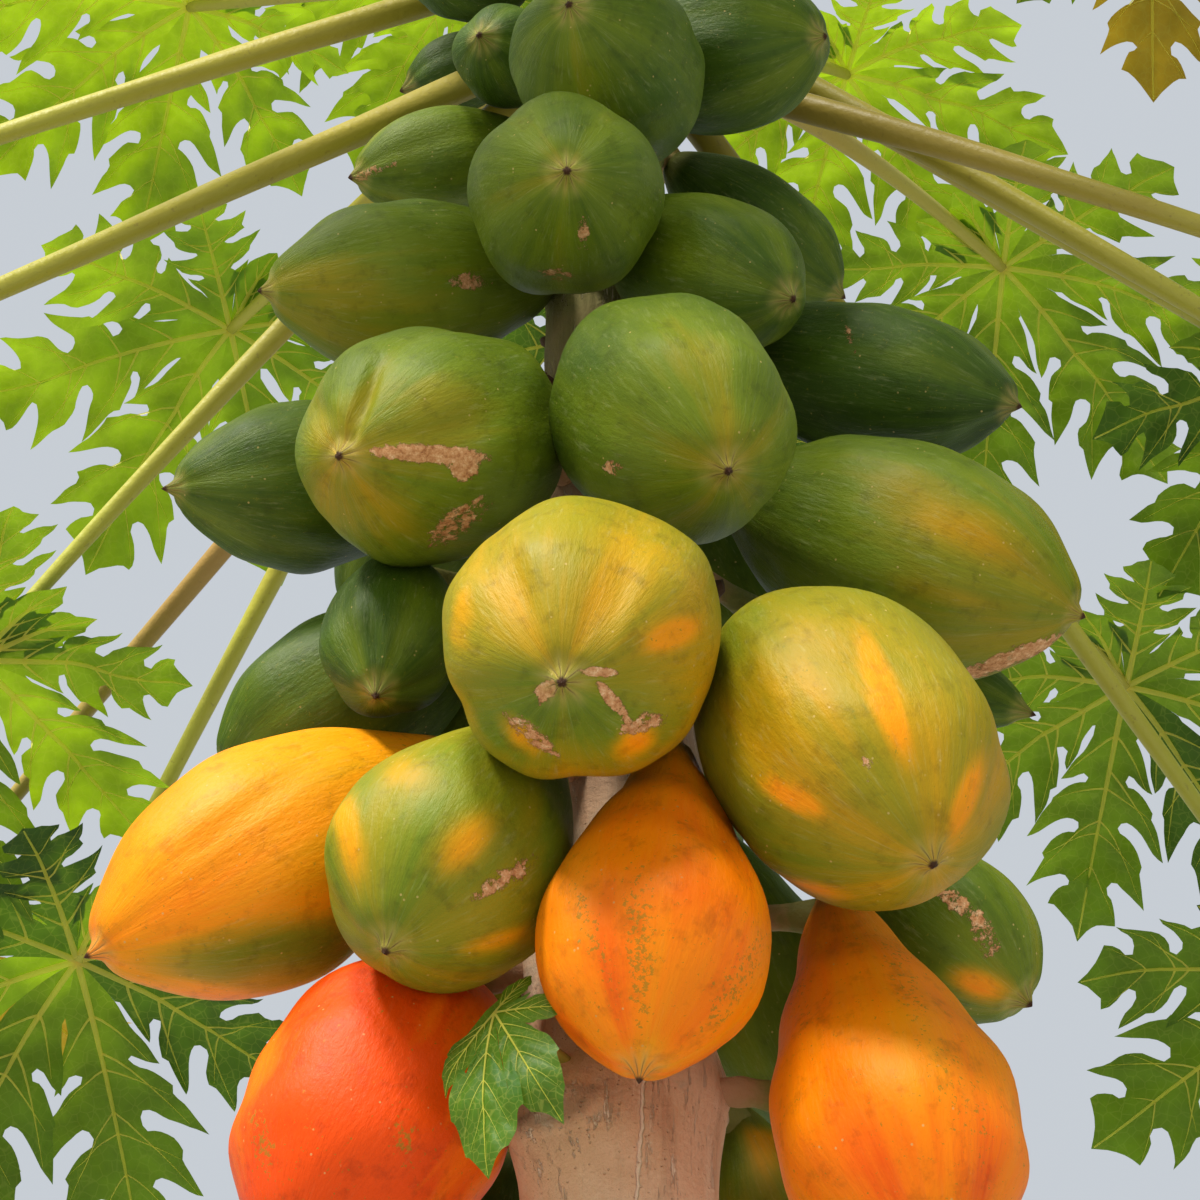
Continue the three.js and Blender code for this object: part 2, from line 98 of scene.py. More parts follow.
# Each fruit, from fruit_01 on: as in the solids, the azimuth, reach and height of its middle, its droop,
# turn, length, width and form, and then how ripe it is, from 0, dark green, to 1, deep orange.
FRUIT_KEYS = ("at", "out", "up", "down", "turn", "long", "wide", "form", "ripe")
FRUIT_TABLE = [
    (-57, .12, 2.845, 38, 0, .12, .084, "round", .05),
    (-94, .11, 2.812, 25, 0, .096, .058, "long", .05),
    (-38, .112, 2.703, 35, 14, .11, .07, "long", .12),
    (0, .14, 2.622, 24, -18, .176, .124, "round", .19),
    (-10, .158, 2.474, 42, 12, .18, .122, "round", .22),
    (44, .12, 2.711, 22, 18, .16, .112, "round", .11),
    (-72, .121, 2.65, 26, -8, .14, .08, "long", .18),
    (-68, .142, 2.506, 16, -12, .2, .112, "long", .25),
    (37, .108, 2.479, 46, 22, .168, .1, "round", .18),
    (112, .118, 2.672, 34, 0, .16, .084, "long", .13),
    (-37, .175, 2.269, 43, -3, .195, .138, "round", .26),
    (12, .165, 2.269, 60, 24, .195, .134, "round", .2),
    (84, .172, 2.452, 33, -14, .23, .104, "long", .08),
    (78, .183, 2.276, 31, 7, .236, .144, "long", .27),
    (-80, .19, 2.342, 24, 12, .2, .108, "point", .13),
    (-62, .146, 2.183, 70, 52, .146, .08, "long", .13),
    (-5, .212, 2.056, 54, -4, .2, .142, "round", .41),
    (-97, .162, 2.21, 35, 0, .19, .108, "long", .12),
    (-78, .194, 2.044, 41, 0, .25, .136, "point", .72),
    (-35, .139, 2.002, 64, -21, .204, .127, "pear", .32),
    (8, .13, 1.944, 84, -70, .212, .118, "drop", .81),
    (38, .196, 2.031, 66, 8, .224, .148, "round", .42),
    (96, .172, 2.05, 50, -10, .18, .1, "pear", .2),
    (110, .19, 2.273, 32, -30, .2, .06, "long", .1),
    (-80, .131, 1.888, 68, 8, .2, .138, "round", .98),
    (68, .146, 1.888, 80, 0, .24, .126, "pear", .83),
    (-142, .135, 1.85, 66, 0, .18, .104, "pear", .1),
    (138, .135, 1.865, 66, 0, .18, .108, "pear", .26),
    (-128, .152, 1.995, 55, 0, .2, .112, "pear", .5),
    (-165, .14, 2.06, 60, 0, .19, .114, "pear", .3),
    (140, .145, 2.06, 58, 0, .19, .114, "pear", .2),
    (-140, .15, 2.235, 45, 0, .195, .11, "round", .16),
    (168, .142, 2.235, 48, 0, .19, .112, "round", .12),
    (-125, .145, 2.42, 38, 0, .18, .104, "long", .12),
    (140, .132, 2.412, 42, 0, .18, .108, "round", .15),
]
FRUITS = {f"fruit_{number:02}": dict(zip(FRUIT_KEYS, row)) for number, row in enumerate(FRUIT_TABLE, 1)}

# A fruit's radius, as a share of the greatest, at shares of its length, and how pointed its tip is.
FORMS = {
    "round": dict(line=[(0, .22), (.11, .63), (.29, .92), (.52, 1), (.76, .86), (.93, .44)], beak=.12),
    "long": dict(line=[(0, .24), (.13, .58), (.32, .88), (.54, 1), (.76, .84), (.93, .38)], beak=.45),
    "point": dict(line=[(0, .24), (.15, .55), (.35, .88), (.56, 1), (.76, .8), (.92, .36)], beak=.8),
    "pear": dict(line=[(0, .2), (.17, .46), (.38, .78), (.6, 1), (.8, .86), (.94, .42)], beak=.5),
    "drop": dict(line=[(0, .2), (.17, .46), (.38, .78), (.59, 1), (.78, .83), (.93, .35)], beak=.9),
}

# How far a fruit's ridges stand out, as a share of its radius, usually and where it shows otherwise.
USUAL_RIDGE = 0.026
RIDGES = {
    "fruit_04": .030, "fruit_05": .036, "fruit_11": .036, "fruit_12": .030, "fruit_14": .030,
    "fruit_16": .040, "fruit_17": .036, "fruit_19": .020, "fruit_21": .018, "fruit_25": .012,
    "fruit_26": .016,
}

# Marks on the fruits, placed by the pixel of the photograph where each shows: across, down, half length
# and half width in pixels, its slope down to the right in degrees, and its strength. "ripe" adds to the
# ripeness, "cork" is dry tan skin, "speck" a sprinkling of the other colour, and "fold" a crease.
MARKS = {
    "fruit_04": dict(cork=[(640, 150, 20, 5, 20, .5)]),
    "fruit_05": dict(
        ripe=[(560, 170, 40, 30, 0, .08)],
        cork=[(558, 275, 20, 6, 10, .62), (583, 232, 7, 16, 0, .58)]),
    "fruit_07": dict(cork=[(372, 172, 30, 5, -20, .5)]),
    "fruit_08": dict(
        ripe=[(330, 290, 60, 30, 0, .1)],
        cork=[(468, 281, 20, 10, 0, .6), (300, 348, 18, 8, 40, .56)]),
    "fruit_11": dict(
        ripe=[(365, 520, 50, 34, 30, .06), (440, 395, 60, 30, 10, .08)],
        cork=[(432, 454, 56, 9, 3, 1), (464, 466, 14, 15, 0, 1), (458, 522, 36, 13, -38, .62)],
        fold=[(364, 402, 44, 9, 109, 1), (322, 412, 36, 12, 54, .4)]),
    "fruit_12": dict(
        ripe=[(735, 440, 45, 40, 0, .05), (670, 345, 70, 40, 0, .08)],
        cork=[(612, 468, 12, 8, 0, .6)]),
    "fruit_13": dict(cork=[(850, 340, 20, 4, 70, .5)], fold=[(985, 430, 46, 10, -30, .8)]),
    "fruit_14": dict(
        ripe=[(955, 522, 80, 26, 24, .13), (870, 470, 90, 24, 10, .1), (960, 600, 60, 12, 20, .08)],
        cork=[(1000, 662, 82, 8, -22, .8), (884, 612, 26, 8, 30, .56)]),
    "fruit_16": dict(fold=[(372, 628, 44, 8, 80, .4)]),
    "fruit_17": dict(
        ripe=[(672, 634, 30, 15, -22, .34), (635, 742, 24, 15, -30, .4), (522, 735, 26, 14, 40, .36),
            (590, 560, 90, 60, 0, .05), (570, 715, 130, 52, 0, -.24), (458, 610, 14, 40, 0, .14)],
        cork=[(600, 672, 19, 5, 4, .9), (545, 691, 13, 9, -50, .85), (614, 702, 27, 6, 52, .8),
            (643, 724, 24, 9, -20, .66), (532, 735, 34, 9, 38, .64)],
        fold=[(520, 590, 66, 14, 72, .45), (622, 590, 66, 14, 112, .3)]),
    "fruit_19": dict(
        ripe=[(265, 955, 150, 34, -12, -.42), (150, 900, 60, 40, -30, .1), (300, 770, 90, 30, -20, -.08),
            (190, 990, 70, 10, 8, .2)],
        fold=[(244, 812, 110, 12, -36, .4)]),
    "fruit_20": dict(
        ripe=[(466, 842, 40, 22, -48, .34), (347, 830, 64, 15, 80, .36), (497, 942, 38, 11, -18, .26),
            (405, 772, 34, 20, 20, .14), (560, 800, 20, 90, 0, -.14)],
        cork=[(504, 879, 36, 8, -32, .72)]),
    "fruit_21": dict(
        ripe=[(620, 780, 60, 60, 0, .07), (650, 1060, 30, 22, 0, -.12)],
        speck=[(640, 945, 80, 15, 88, .8), (592, 930, 60, 10, 70, .7), (735, 985, 60, 12, -60, .7)]),
    "fruit_22": dict(
        ripe=[(886, 700, 62, 13, 70, .42), (792, 797, 34, 11, 28, .4), (966, 800, 44, 12, 110, .36),
            (806, 888, 44, 9, 12, .28), (800, 700, 70, 80, 0, .1), (750, 850, 130, 44, 34, -.16)],
        cork=[(864, 757, 21, 3, 78, .8)]),
    "fruit_23": dict(
        ripe=[(978, 985, 34, 16, 20, .5)],
        cork=[(962, 906, 40, 9, 36, .62), (984, 934, 24, 12, 62, .56)]),
    "fruit_25": dict(
        ripe=[(440, 1040, 60, 90, 0, .1), (270, 1100, 30, 80, 0, -.06)],
        speck=[(262, 1140, 36, 10, 80, .8), (405, 1140, 24, 10, 80, .8)]),
    "fruit_26": dict(
        speck=[(905, 985, 70, 12, 70, .45), (955, 1090, 60, 20, 60, .4), (800, 1000, 50, 10, 80, .35)],
        fold=[(818, 930, 30, 10, 58, .7)]),
    "fruit_27": dict(ripe=[(490, 1150, 30, 50, 0, .1)]),
    "fruit_28": dict(ripe=[(765, 1120, 26, 60, 0, .4)]),
}

# How far from its middle each kind of mark begins to fade, and where all are gone, in half sizes.
MARK_CORES = dict(ripe=.2, cork=.55, speck=.55, fold=0)
MARK_END = 1.5
FOLD_DEPTH = 0.0055
PATCH_RIPENESS = 0.76  # a ripe patch on a greener fruit goes no further

# Each leaf as in the solids, from leaf_01 on: azimuth, reach and height of its blade's middle, height of
# its stalk's foot, arch of the stalk, length of the longest lobe and outward droop.
LEAF_KEYS = ("at", "out", "up", "foot", "arch", "blade", "droop", "form")
LEAF_TABLE = [
    (-86, .62, 2.56, 2.935, .02, .25, 30),
    (-78, .58, 2.286, 2.825, .005, .24, 40),
    (-119, .525, 2.44, 2.85, .035, .23, 25),
    (-133, .755, 2.385, 2.75, .01, .255, 20),
    (-140, .63, 2.335, 2.87, .06, .24, 25),
    (-140, .518, 2.95, 2.91, .01, .235, 15),
    (-119, .422, 3.161, 2.955, 0, .22, 5),
    (-153, .34, 3.354, 2.978, 0, .205, 5),
    (94, .6, 2.392, 2.885, .035, .24, 35),
    (86, .64, 2.43, 2.8, .04, .25, 30),
    (108, .545, 2.65, 2.915, 0, .235, 25),
    (134, .48, 2.96, 2.872, .07, .23, 15),
    (145, .388, 3.212, 2.93, 0, .21, 5),
    (122, .57, 2.195, 2.84, .02, .24, 35),
    (137, .62, 2.584, 2.76, .02, .225, 20),
    (83, .43, 3.01, 2.945, 0, .23, 10),
    (-31, .53, 2.88, 2.866, .05, .265, 25),
    (38, .53, 2.93, 2.845, .05, .265, 25),
    (176, .45, 3, 2.86, .03, .26, 15),
    (2, .54, 3.01, 2.89, .05, .265, 20),
    (-25, .33, 3.29, 2.94, 0, .22, 5),
    (48, .32, 3.34, 2.955, 0, .21, 5),
]
LEAVES = {
    f"leaf_{number:02}": dict(zip(LEAF_KEYS, (*row, "grown"))) for number, row in enumerate(LEAF_TABLE, 1)
}
LEAVES["young_leaf"] = dict(zip(LEAF_KEYS, (-30, .127, 1.893, 1.904, .006, .088, 74, "young")))

# The lobes of each kind of leaf, in order round it: direction, length as a share of the longest, and
# how far out it parts from the next, a share of the longest lobe too. Then the thickness of its stalk
# and of its veins, as shares of a grown leaf's, and the form of its lobes' sides. Small lobes of a grown
# leaf have a plainer edge.
KINDS = {
    "grown": dict(
        lobes=[
            (-168, .40, .16), (-134, .66, .19), (-90, .84, .21), (-45, .97, .22), (0, 1, .22),
            (45, .97, .21), (90, .84, .19), (134, .66, .16), (168, .40, .10),
        ], stalk=1, vein=1, side="grown"),
    "tender": dict(
        lobes=[(-125, .6, .21), (-60, .9, .23), (0, 1, .23), (60, .9, .21), (125, .6, .16)],
        stalk=.5, vein=.45, side="grown"),
    "young": dict(
        lobes=[(-36, .54, .42), (-2, 1, .6), (30, .84, .32), (80, .46, .24), (150, .34, .08)],
        stalk=.3, vein=.26, side="young"),
}

# One side of a lobe, from its foot to its tip: shares of its length along the midrib and away from it.
# Each stretch is smooth, and stretches meet in points. Round gaps part a lobe's pointed side lobes.
SIDES = {
    "grown": [
        [(.24, .085), (.30, .110), (.36, .148), (.43, .176)],
        [(.412, .140), (.394, .112), (.390, .090), (.405, .075), (.425, .084), (.434, .112), (.452, .152),
         (.500, .202)],
        [(.525, .200), (.570, .232), (.655, .278)],
        [(.635, .232), (.600, .172), (.578, .124), (.582, .092), (.602, .078), (.624, .090), (.636, .128),
         (.660, .166), (.700, .198)],
        [(.722, .194), (.765, .212), (.838, .236)],
        [(.815, .190), (.790, .142), (.780, .102), (.792, .074), (.814, .078), (.834, .105), (.872, .132),
         (.902, .142)],
        [(.910, .110), (.932, .074), (.965, .034)],
    ],
    "young": [
        [(.36, .170), (.50, .235), (.64, .250)],
        [(.66, .215), (.76, .190), (.85, .150)],
        [(.86, .120), (.93, .060)],
    ],
    "small": [
        [(.30, .160), (.46, .205), (.62, .230)],
        [(.62, .180), (.74, .160), (.84, .130)],
        [(.85, .100), (.93, .050)],
    ],
}

# The veins of a lobe: where each leaves the midrib, and where it ends, as shares of the lobe's length.
VEINS = {
    "grown": [
        (.22, .422, .166), (.36, .640, .264), (.43, .512, .190), (.56, .822, .224), (.62, .712, .186),
        (.74, .890, .132),
    ],
    "young": [(.16, .44, .18), (.30, .60, .21), (.48, .76, .16), (.64, .85, .11)],
    "small": [(.20, .50, .17), (.40, .68, .16), (.60, .84, .10)],
}
SMALL_LOBE = .45  # a lobe shorter than this share of the longest is small

# The shades that are dealt out to lobes: three greens of painted light, from painted shade to painted
# sunlight, the young leaf's own, and that of an old, browned lobe. Each has the blade's colour, the colour
# of the light that comes through it, and how fine and how clear its net of veins is.
LEAF_COLOURS = {
    "dark": [(38, 66, 16), (86, 120, 12), 120, .10],
    "green": [(58, 92, 18), (138, 170, 14), 120, .10],
    "bright": [(80, 122, 20), (164, 196, 20), 120, .08],
    "young": [(66, 112, 24), (124, 166, 26), 230, .28],
    "old": [(128, 108, 30), (190, 156, 26), 120, .10],
}
OLD_LOBES = [("leaf_16", 6), ("leaf_04", 2)]  # the leaf, and the lobe's place in its kind's list

# How sunlit each leaf is, from 0 to 1, where the photograph shows it; its lobes are painted in shade or
# sunlight by it.
LEAF_TONES = {
    "leaf_03": .6, "leaf_04": .54, "leaf_05": .5, "leaf_06": .78, "leaf_07": .88, "leaf_08": .85,
    "leaf_11": .34, "leaf_12": .52, "leaf_13": .88, "leaf_14": .32, "leaf_15": .38, "leaf_19": .3,
}
# where a lobe's painted shade changes to the next green of painted light
TONE_LIMITS = (.36, .66)  # how sunlit a lobe is where its shade changes to the next

# How brown a leaf's stalk is, from 0 to 1.
STALK_TINTS = {"leaf_04": 1, "leaf_05": .1, "leaf_03": .2, "leaf_01": .15, "leaf_10": .5}

BLADE_BEND = 0.28  # how far a blade bows down towards its edge
LOBE_CURVE = 0.05  # how far a lobe's midrib bends aside at most
LOBE_ROLL = (6, 13)  # how far a lobe's own plane tilts, in degrees
LOBE_DROOP = (.02, .14)
BLADE_WAVES = [(.016, .34, 3.7, 7), (.007, .11, 1.3, 8)]  # height, length, shift from leaf to leaf, seed
VEIN_GROOVE = (.014, .026)  # how far a blade rises between its veins, and how wide their grooves are
VEIN_CLEARANCE = .012  # how far the veins on an upper face stand off its coarse surface
LEAF_STALK = (0.0125, 0.0085, 0.0048)  # radii of a grown leaf's stalk at its foot, middle and blade
VEIN_RADIUS = 0.0027
GRID_SHARE = 0.028  # spacing of the points inside a lobe, as a share of the longest lobe
EDGE_SHARE = 0.020  # spacing of the points along its edge
BUD_HEIGHT = 0.070
BUD_RADIUS = 0.019
# The bud's outline, as shares of its height and radius, and its leaves, innermost to outermost.
BUD_PROFILE = [(0, .65), (.25, 1), (.6, .8), (1, .2)]
BUD_LEAVES = dict(
    # tone: how sunlit the bud's lobes are painted, between painted shade and painted sunlight
    count=11, first=60, bow=.012, tone=.85,
    reach=(.040, .235), up=(3.285, 3.120), blade=(.070, .155), foot=(.7, .2))

# The studio. Each sun: its place, its strength, how wide it looks in degrees, and its colour.
FLOOR_HALF = 9  # half the length of its side
STUDIO_COLOUR = (.87, .93, 1, 1)
STUDIO_STRENGTH = .66
LIT_SPOT = (0, 0, 2.2)
SUNS = {
    "key": ((-2.2, -2.0, 5.5), 3.1, 8, (1, .95, .86)),
    "front": ((-1.1, -4.3, 6.2), 3.2, 12, (1, .96, .88)),
}


# Places


def outwards(azimuth):
    """The unit vector that points outwards at an azimuth."""
    return np.array([math.sin(math.radians(azimuth)), -math.cos(math.radians(azimuth)), 0])


def trunk_levels():
    """The middles of the trunk solid's rings of corners, lowest first."""
    corners = np.array([corner.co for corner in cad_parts["trunk"].data.vertices])
    corners = np.unique(corners.round(5), axis=0)
    corners = corners[np.argsort(corners[:, 2])]
    between_rings = 0.004
    starts = np.nonzero(np.diff(corners[:, 2]) > between_rings)[0] + 1
    return np.array([ring.mean(0) for ring in np.split(corners, starts)])


TRUNK_LEVELS = trunk_levels()


def trunk_middle(height):
    """The trunk's middle at a height, or at an array of heights."""
    height = np.asarray(height, float)
    x, y = (np.interp(height, TRUNK_LEVELS[:, 2], TRUNK_LEVELS[:, side]) for side in (0, 1))
    return np.stack([x, y, height], -1)


def trunk_radius(height):
    body = GROUND_RADIUS - TAPER * height + FLARE * np.exp(-height / FLARE_HEIGHT)
    into_tip = np.clip((height - (TREE_TOP - TIP_LENGTH)) / TIP_LENGTH, 0, 1)
    return body * np.sqrt(1 - TIP_ROUNDING * into_tip**2)


def around(azimuth, reach, height):
    """The point at an azimuth, reach from the trunk's middle, and height."""
    middle = trunk_middle(min(height, TREE_TOP))
    middle[2] = height
    return middle + outwards(azimuth) * reach


def photo_pixels(points):
    """Where points show in the photograph."""
    pitch = math.radians(CAMERA_PITCH)
    ahead = np.array([0, math.cos(pitch), math.sin(pitch)])
    up = np.array([0, -math.sin(pitch), math.cos(pitch)])
    away = points - np.array(CAMERA_PLACE)
    scale = PHOTO_SIDE / 2 / math.tan(math.radians(CAMERA_FIELD / 2)) / (away @ ahead)
    return np.stack([PHOTO_SIDE / 2 + away[..., 0] * scale, PHOTO_SIDE / 2 - (away @ up) * scale], -1)


# Shapes


def unit(vectors):
    return vectors / np.linalg.norm(vectors, axis=-1, keepdims=True)


def smoothstep(low, high, values):
    share = np.clip((values - low) / (high - low), 0, 1)
    return share * share * (3 - 2 * share)


def bell(distance, width):
    """1 at no distance, falling smoothly to nothing at about twice the width."""
    return np.exp(-((distance / width) ** 2))


def ripple(points, scale, seed, waves=6):
    """Smooth noise from about -1 to 1, made of plane waves of about one length."""
    rng = np.random.default_rng(seed)
    total = np.zeros(points.shape[:-1])
    for _ in range(waves):
        direction = unit(rng.normal(size=points.shape[-1]))
        total += np.sin(points @ direction * rng.uniform(.6, 1.5) * 2 * math.pi / scale + rng.uniform(0, 6.3))
    return total / math.sqrt(waves) / 1.2


def spline(points, count):
    """A smooth line through points, as count points evenly spaced."""
    points = np.array(points, float)
    padded = np.vstack([2 * points[0] - points[1], points, 2 * points[-1] - points[-2]])
    return catmull_rom(padded, count)


def catmull_rom(padded, count, cluster=1.0):
    """The same, where the first and last points only give the line's direction at its ends. A cluster
    over 1 sets the points closer together towards the end."""
    steps = np.linspace(0, 1, 24, endpoint=False)[:, None]
    pieces = []
    for a, b, c, d in zip(padded, padded[1:], padded[2:], padded[3:]):
        cubic = (3 * b - a - 3 * c + d) * steps**3 + (2 * a - 5 * b + 4 * c - d) * steps**2
        pieces.append((cubic + (c - a) * steps + 2 * b) / 2)
    line = np.vstack(pieces + [padded[-2:-1]])
    travelled = np.concatenate([[0], np.cumsum(np.linalg.norm(np.diff(line, axis=0), axis=1))])
    wanted = travelled[-1] * (1 - (1 - np.linspace(0, 1, count)) ** cluster)
    return np.stack([np.interp(wanted, travelled, line[:, i]) for i in range(line.shape[1])], -1)


def bezier(start, bend, end, count):
    """Points along a quadratic curve from start to end."""
    share = np.linspace(0, 1, count)[:, None]
    return start * (1 - share) ** 2 + bend * 2 * share * (1 - share) + end * share**2


def frames_along(points):
    """At each point of a line, two directions square to it that turn as little as they can."""
    tangents = unit(np.gradient(points, axis=0))
    normal = np.array([1.0, 0, 0]) if abs(tangents[0, 2]) > .9 else np.array([0, 0, 1.0])
    normals = []
    for tangent in tangents:
        normal = unit(normal - tangent * (normal @ tangent))
        normals.append(normal)
    normals = np.array(normals)
    return normals, np.cross(tangents, normals)


def rings_along(points, radii, sides, uneven=0.0):
    """Rings of points round a line."""
    normals, binormals = frames_along(points)
    angles = np.linspace(0, 2 * math.pi, sides, endpoint=False)
    circle = np.cos(angles)[:, None] * normals[:, None] + np.sin(angles)[:, None] * binormals[:, None]
    swell = 1 + uneven * np.cos(3 * angles + points[:, :1] * 40)
    return points[:, None] + circle * (np.asarray(radii)[:, None] * swell)[..., None]


def ring_faces(rows, sides):
    """Quads between rings, and a fan at each end to a point that follows the rings' own points."""
    row, side = np.meshgrid(np.arange(rows - 1), np.arange(sides), indexing="ij")
    beside = (side + 1) % sides
    quads = np.stack([row * sides + side, row * sides + beside, (row + 1) * sides + beside,
                      (row + 1) * sides + side], -1).reshape(-1, 4)
    side = np.arange(sides)
    beside = (side + 1) % sides
    last = (rows - 1) * sides
    first_fan = np.stack([beside, side, np.full(sides, rows * sides)], -1)
    last_fan = np.stack([last + side, last + beside, np.full(sides, rows * sides + 1)], -1)
    return quads.tolist() + first_fan.tolist() + last_fan.tolist()


def closed_points(rings):
    """The rings' points, followed by the middles of the first and last ring."""
    return np.vstack([rings.reshape(-1, 3), rings[0].mean(0), rings[-1].mean(0)])


class Pile:
    """Many small forms of one kind, joined into one piece."""

    def __init__(self):
        self.points = []
        self.faces = []
        self.shades = []
        self.values = {}
        self.count = 0

    def add(self, points, faces, shade=0, **values):
        self.faces += [[corner + self.count for corner in face] for face in faces]
        self.shades += [shade] * len(faces)
        self.points.append(points)
        self.count += len(points)
        for name, value in values.items():
            self.values.setdefault(name, []).append(np.broadcast_to(value, len(points)).astype(float))

    def add_tube(self, points, radii, sides, uneven=0.0, **values):
        rings = rings_along(points, radii, sides, uneven)
        along = np.repeat(np.linspace(0, 1, len(points)), sides)
        along = np.append(along, [0, 1])
        self.add(closed_points(rings), ring_faces(len(points), sides), along=along, **values)

    def piece(self, name, slot, *materials):
        values = {key: np.concatenate(parts) for key, parts in self.values.items()}
        piece = make_piece(name, np.vstack(self.points), self.faces, materials, values)
        piece.data.polygons.foreach_set("material_index", self.shades)
        return piece


def make_piece(name, points, faces, materials, values):
    """A smooth mesh that rides on the tree, with a value at each point for its material to read."""
    mesh = bpy.data.meshes.new(name)
    mesh.from_pydata(np.asarray(points).tolist(), [], faces)
    for key, value in values.items():
        kind = "FLOAT" if np.ndim(value) == 1 else "FLOAT_VECTOR"
        field = mesh.attributes.new(key, kind, "POINT")
        field.data.foreach_set("value" if kind == "FLOAT" else "vector", np.ravel(value).astype(np.float32))
    mesh.polygons.foreach_set("use_smooth", np.ones(len(mesh.polygons), bool))
    for material in materials:
        mesh.materials.append(material)
    mesh.update()
    piece = bpy.data.objects.new(name, mesh)
    bpy.context.scene.collection.objects.link(piece)
    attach(piece, "root")
    return piece


# Materials


def linear(red, green, blue):
    """A colour given as seen, from 0 to 255, in the values that a shader takes."""
    shares = [channel / 255 for channel in (red, green, blue)]
    return tuple(s / 12.92 if s <= .04045 else ((s + .055) / 1.055) ** 2.4 for s in shares) + (1,)


class Surface:
    """A material under construction. Each call adds a node and gives its output."""

    def __init__(self, name):
        self.material = bpy.data.materials.new(name)
        self.material.use_nodes = True
        self.tree = self.material.node_tree
        self.tree.nodes.clear()

    def node(self, kind, **inputs):
        node = self.tree.nodes.new("ShaderNode" + kind)
        for key, value in inputs.items():
            self.set(node.inputs[key.replace("_", " ")], value)
        return node

    def set(self, socket, value):
        """Gives a socket its value, or links it where the value is another node's output."""
        if isinstance(value, bpy.types.NodeSocket):
            self.tree.links.new(value, socket)
        else:
            socket.default_value = value

    def value(self, name, output="Fac"):
        node = self.node("Attribute")
        node.attribute_name = name
        return node.outputs[output]

    def place(self):
        return self.node("TexCoord").outputs["Object"]

    def math(self, operation, *values):
        node = self.node("Math")
        node.operation = operation
        for socket, value in zip(node.inputs, values):
            self.set(socket, value)
        return node.outputs[0]

    def times(self, a, b):
        return self.math("MULTIPLY", a, b)

    def scaled(self, value, scale, shift):
        return self.math("MULTIPLY_ADD", value, scale, shift)

    def stretch(self, vector, scale):
        node = self.node("VectorMath", Vector=vector)
        node.operation = "MULTIPLY"
        node.inputs[1].default_value = scale
        return node.outputs[0]

    def noise(self, vector, scale, detail=3.0, roughness=.55):
        node = self.node("TexNoise", Vector=vector, Scale=scale, Detail=detail, Roughness=roughness)
        return node.outputs["Fac"]

    def cells(self, vector, scale, feature="F1"):
        node = self.node("TexVoronoi", Vector=vector, Scale=scale)
        node.feature = feature
        return node.outputs["Distance"]

    def steps(self, value, low, high):
        """From 0 at low to 1 at high, smoothly. Low may be the greater of the two."""
        node = self.node("MapRange", Value=value)
        node.interpolation_type = "SMOOTHSTEP"
        node.inputs["From Min"].default_value = low
        node.inputs["From Max"].default_value = high
        return node.outputs[0]

    def ramp(self, value, stops):
        node = self.node("ValToRGB", Fac=value)
        elements = node.color_ramp.elements
        while len(elements) < len(stops):
            elements.new(.5)
        for element, (position, colour) in zip(elements, stops):
            element.position = position
            element.color = linear(*colour)
        return node.outputs["Color"]

    def mix(self, factor, a, b, blend="MIX"):
        node = self.node("Mix")
        node.data_type = "RGBA"
        node.blend_type = blend
        for number, value in ((0, factor), (6, a), (7, b)):
            self.set(node.inputs[number], value)
        return node.outputs[2]

    def lay(self, colour, where, share, over, blend="MIX"):
        """A colour with a share of another laid over it, where a mask says."""
        return self.mix(self.times(where, share), colour, linear(*over), blend)

    def bump(self, height, distance, strength):
        return self.node("Bump", Height=height, Distance=distance, Strength=strength).outputs["Normal"]

    def finish(self, **inputs):
        shader = self.node("BsdfPrincipled", **inputs)
        return self.join(shader.outputs[0])

    def join(self, shader):
        self.node("OutputMaterial", Surface=shader)
        return self.material

    def finish_thin(self, share, through, **inputs):
        """A thin surface that lets a share of the light through, in the colour called through."""
        shader = self.node("BsdfPrincipled", **inputs)
        clear = self.node("BsdfTranslucent", Color=through)
        mixed = self.node("MixShader", Fac=share)
        self.tree.links.new(shader.outputs[0], mixed.inputs[1])
        self.tree.links.new(clear.outputs[0], mixed.inputs[2])
        return self.join(mixed.outputs[0])


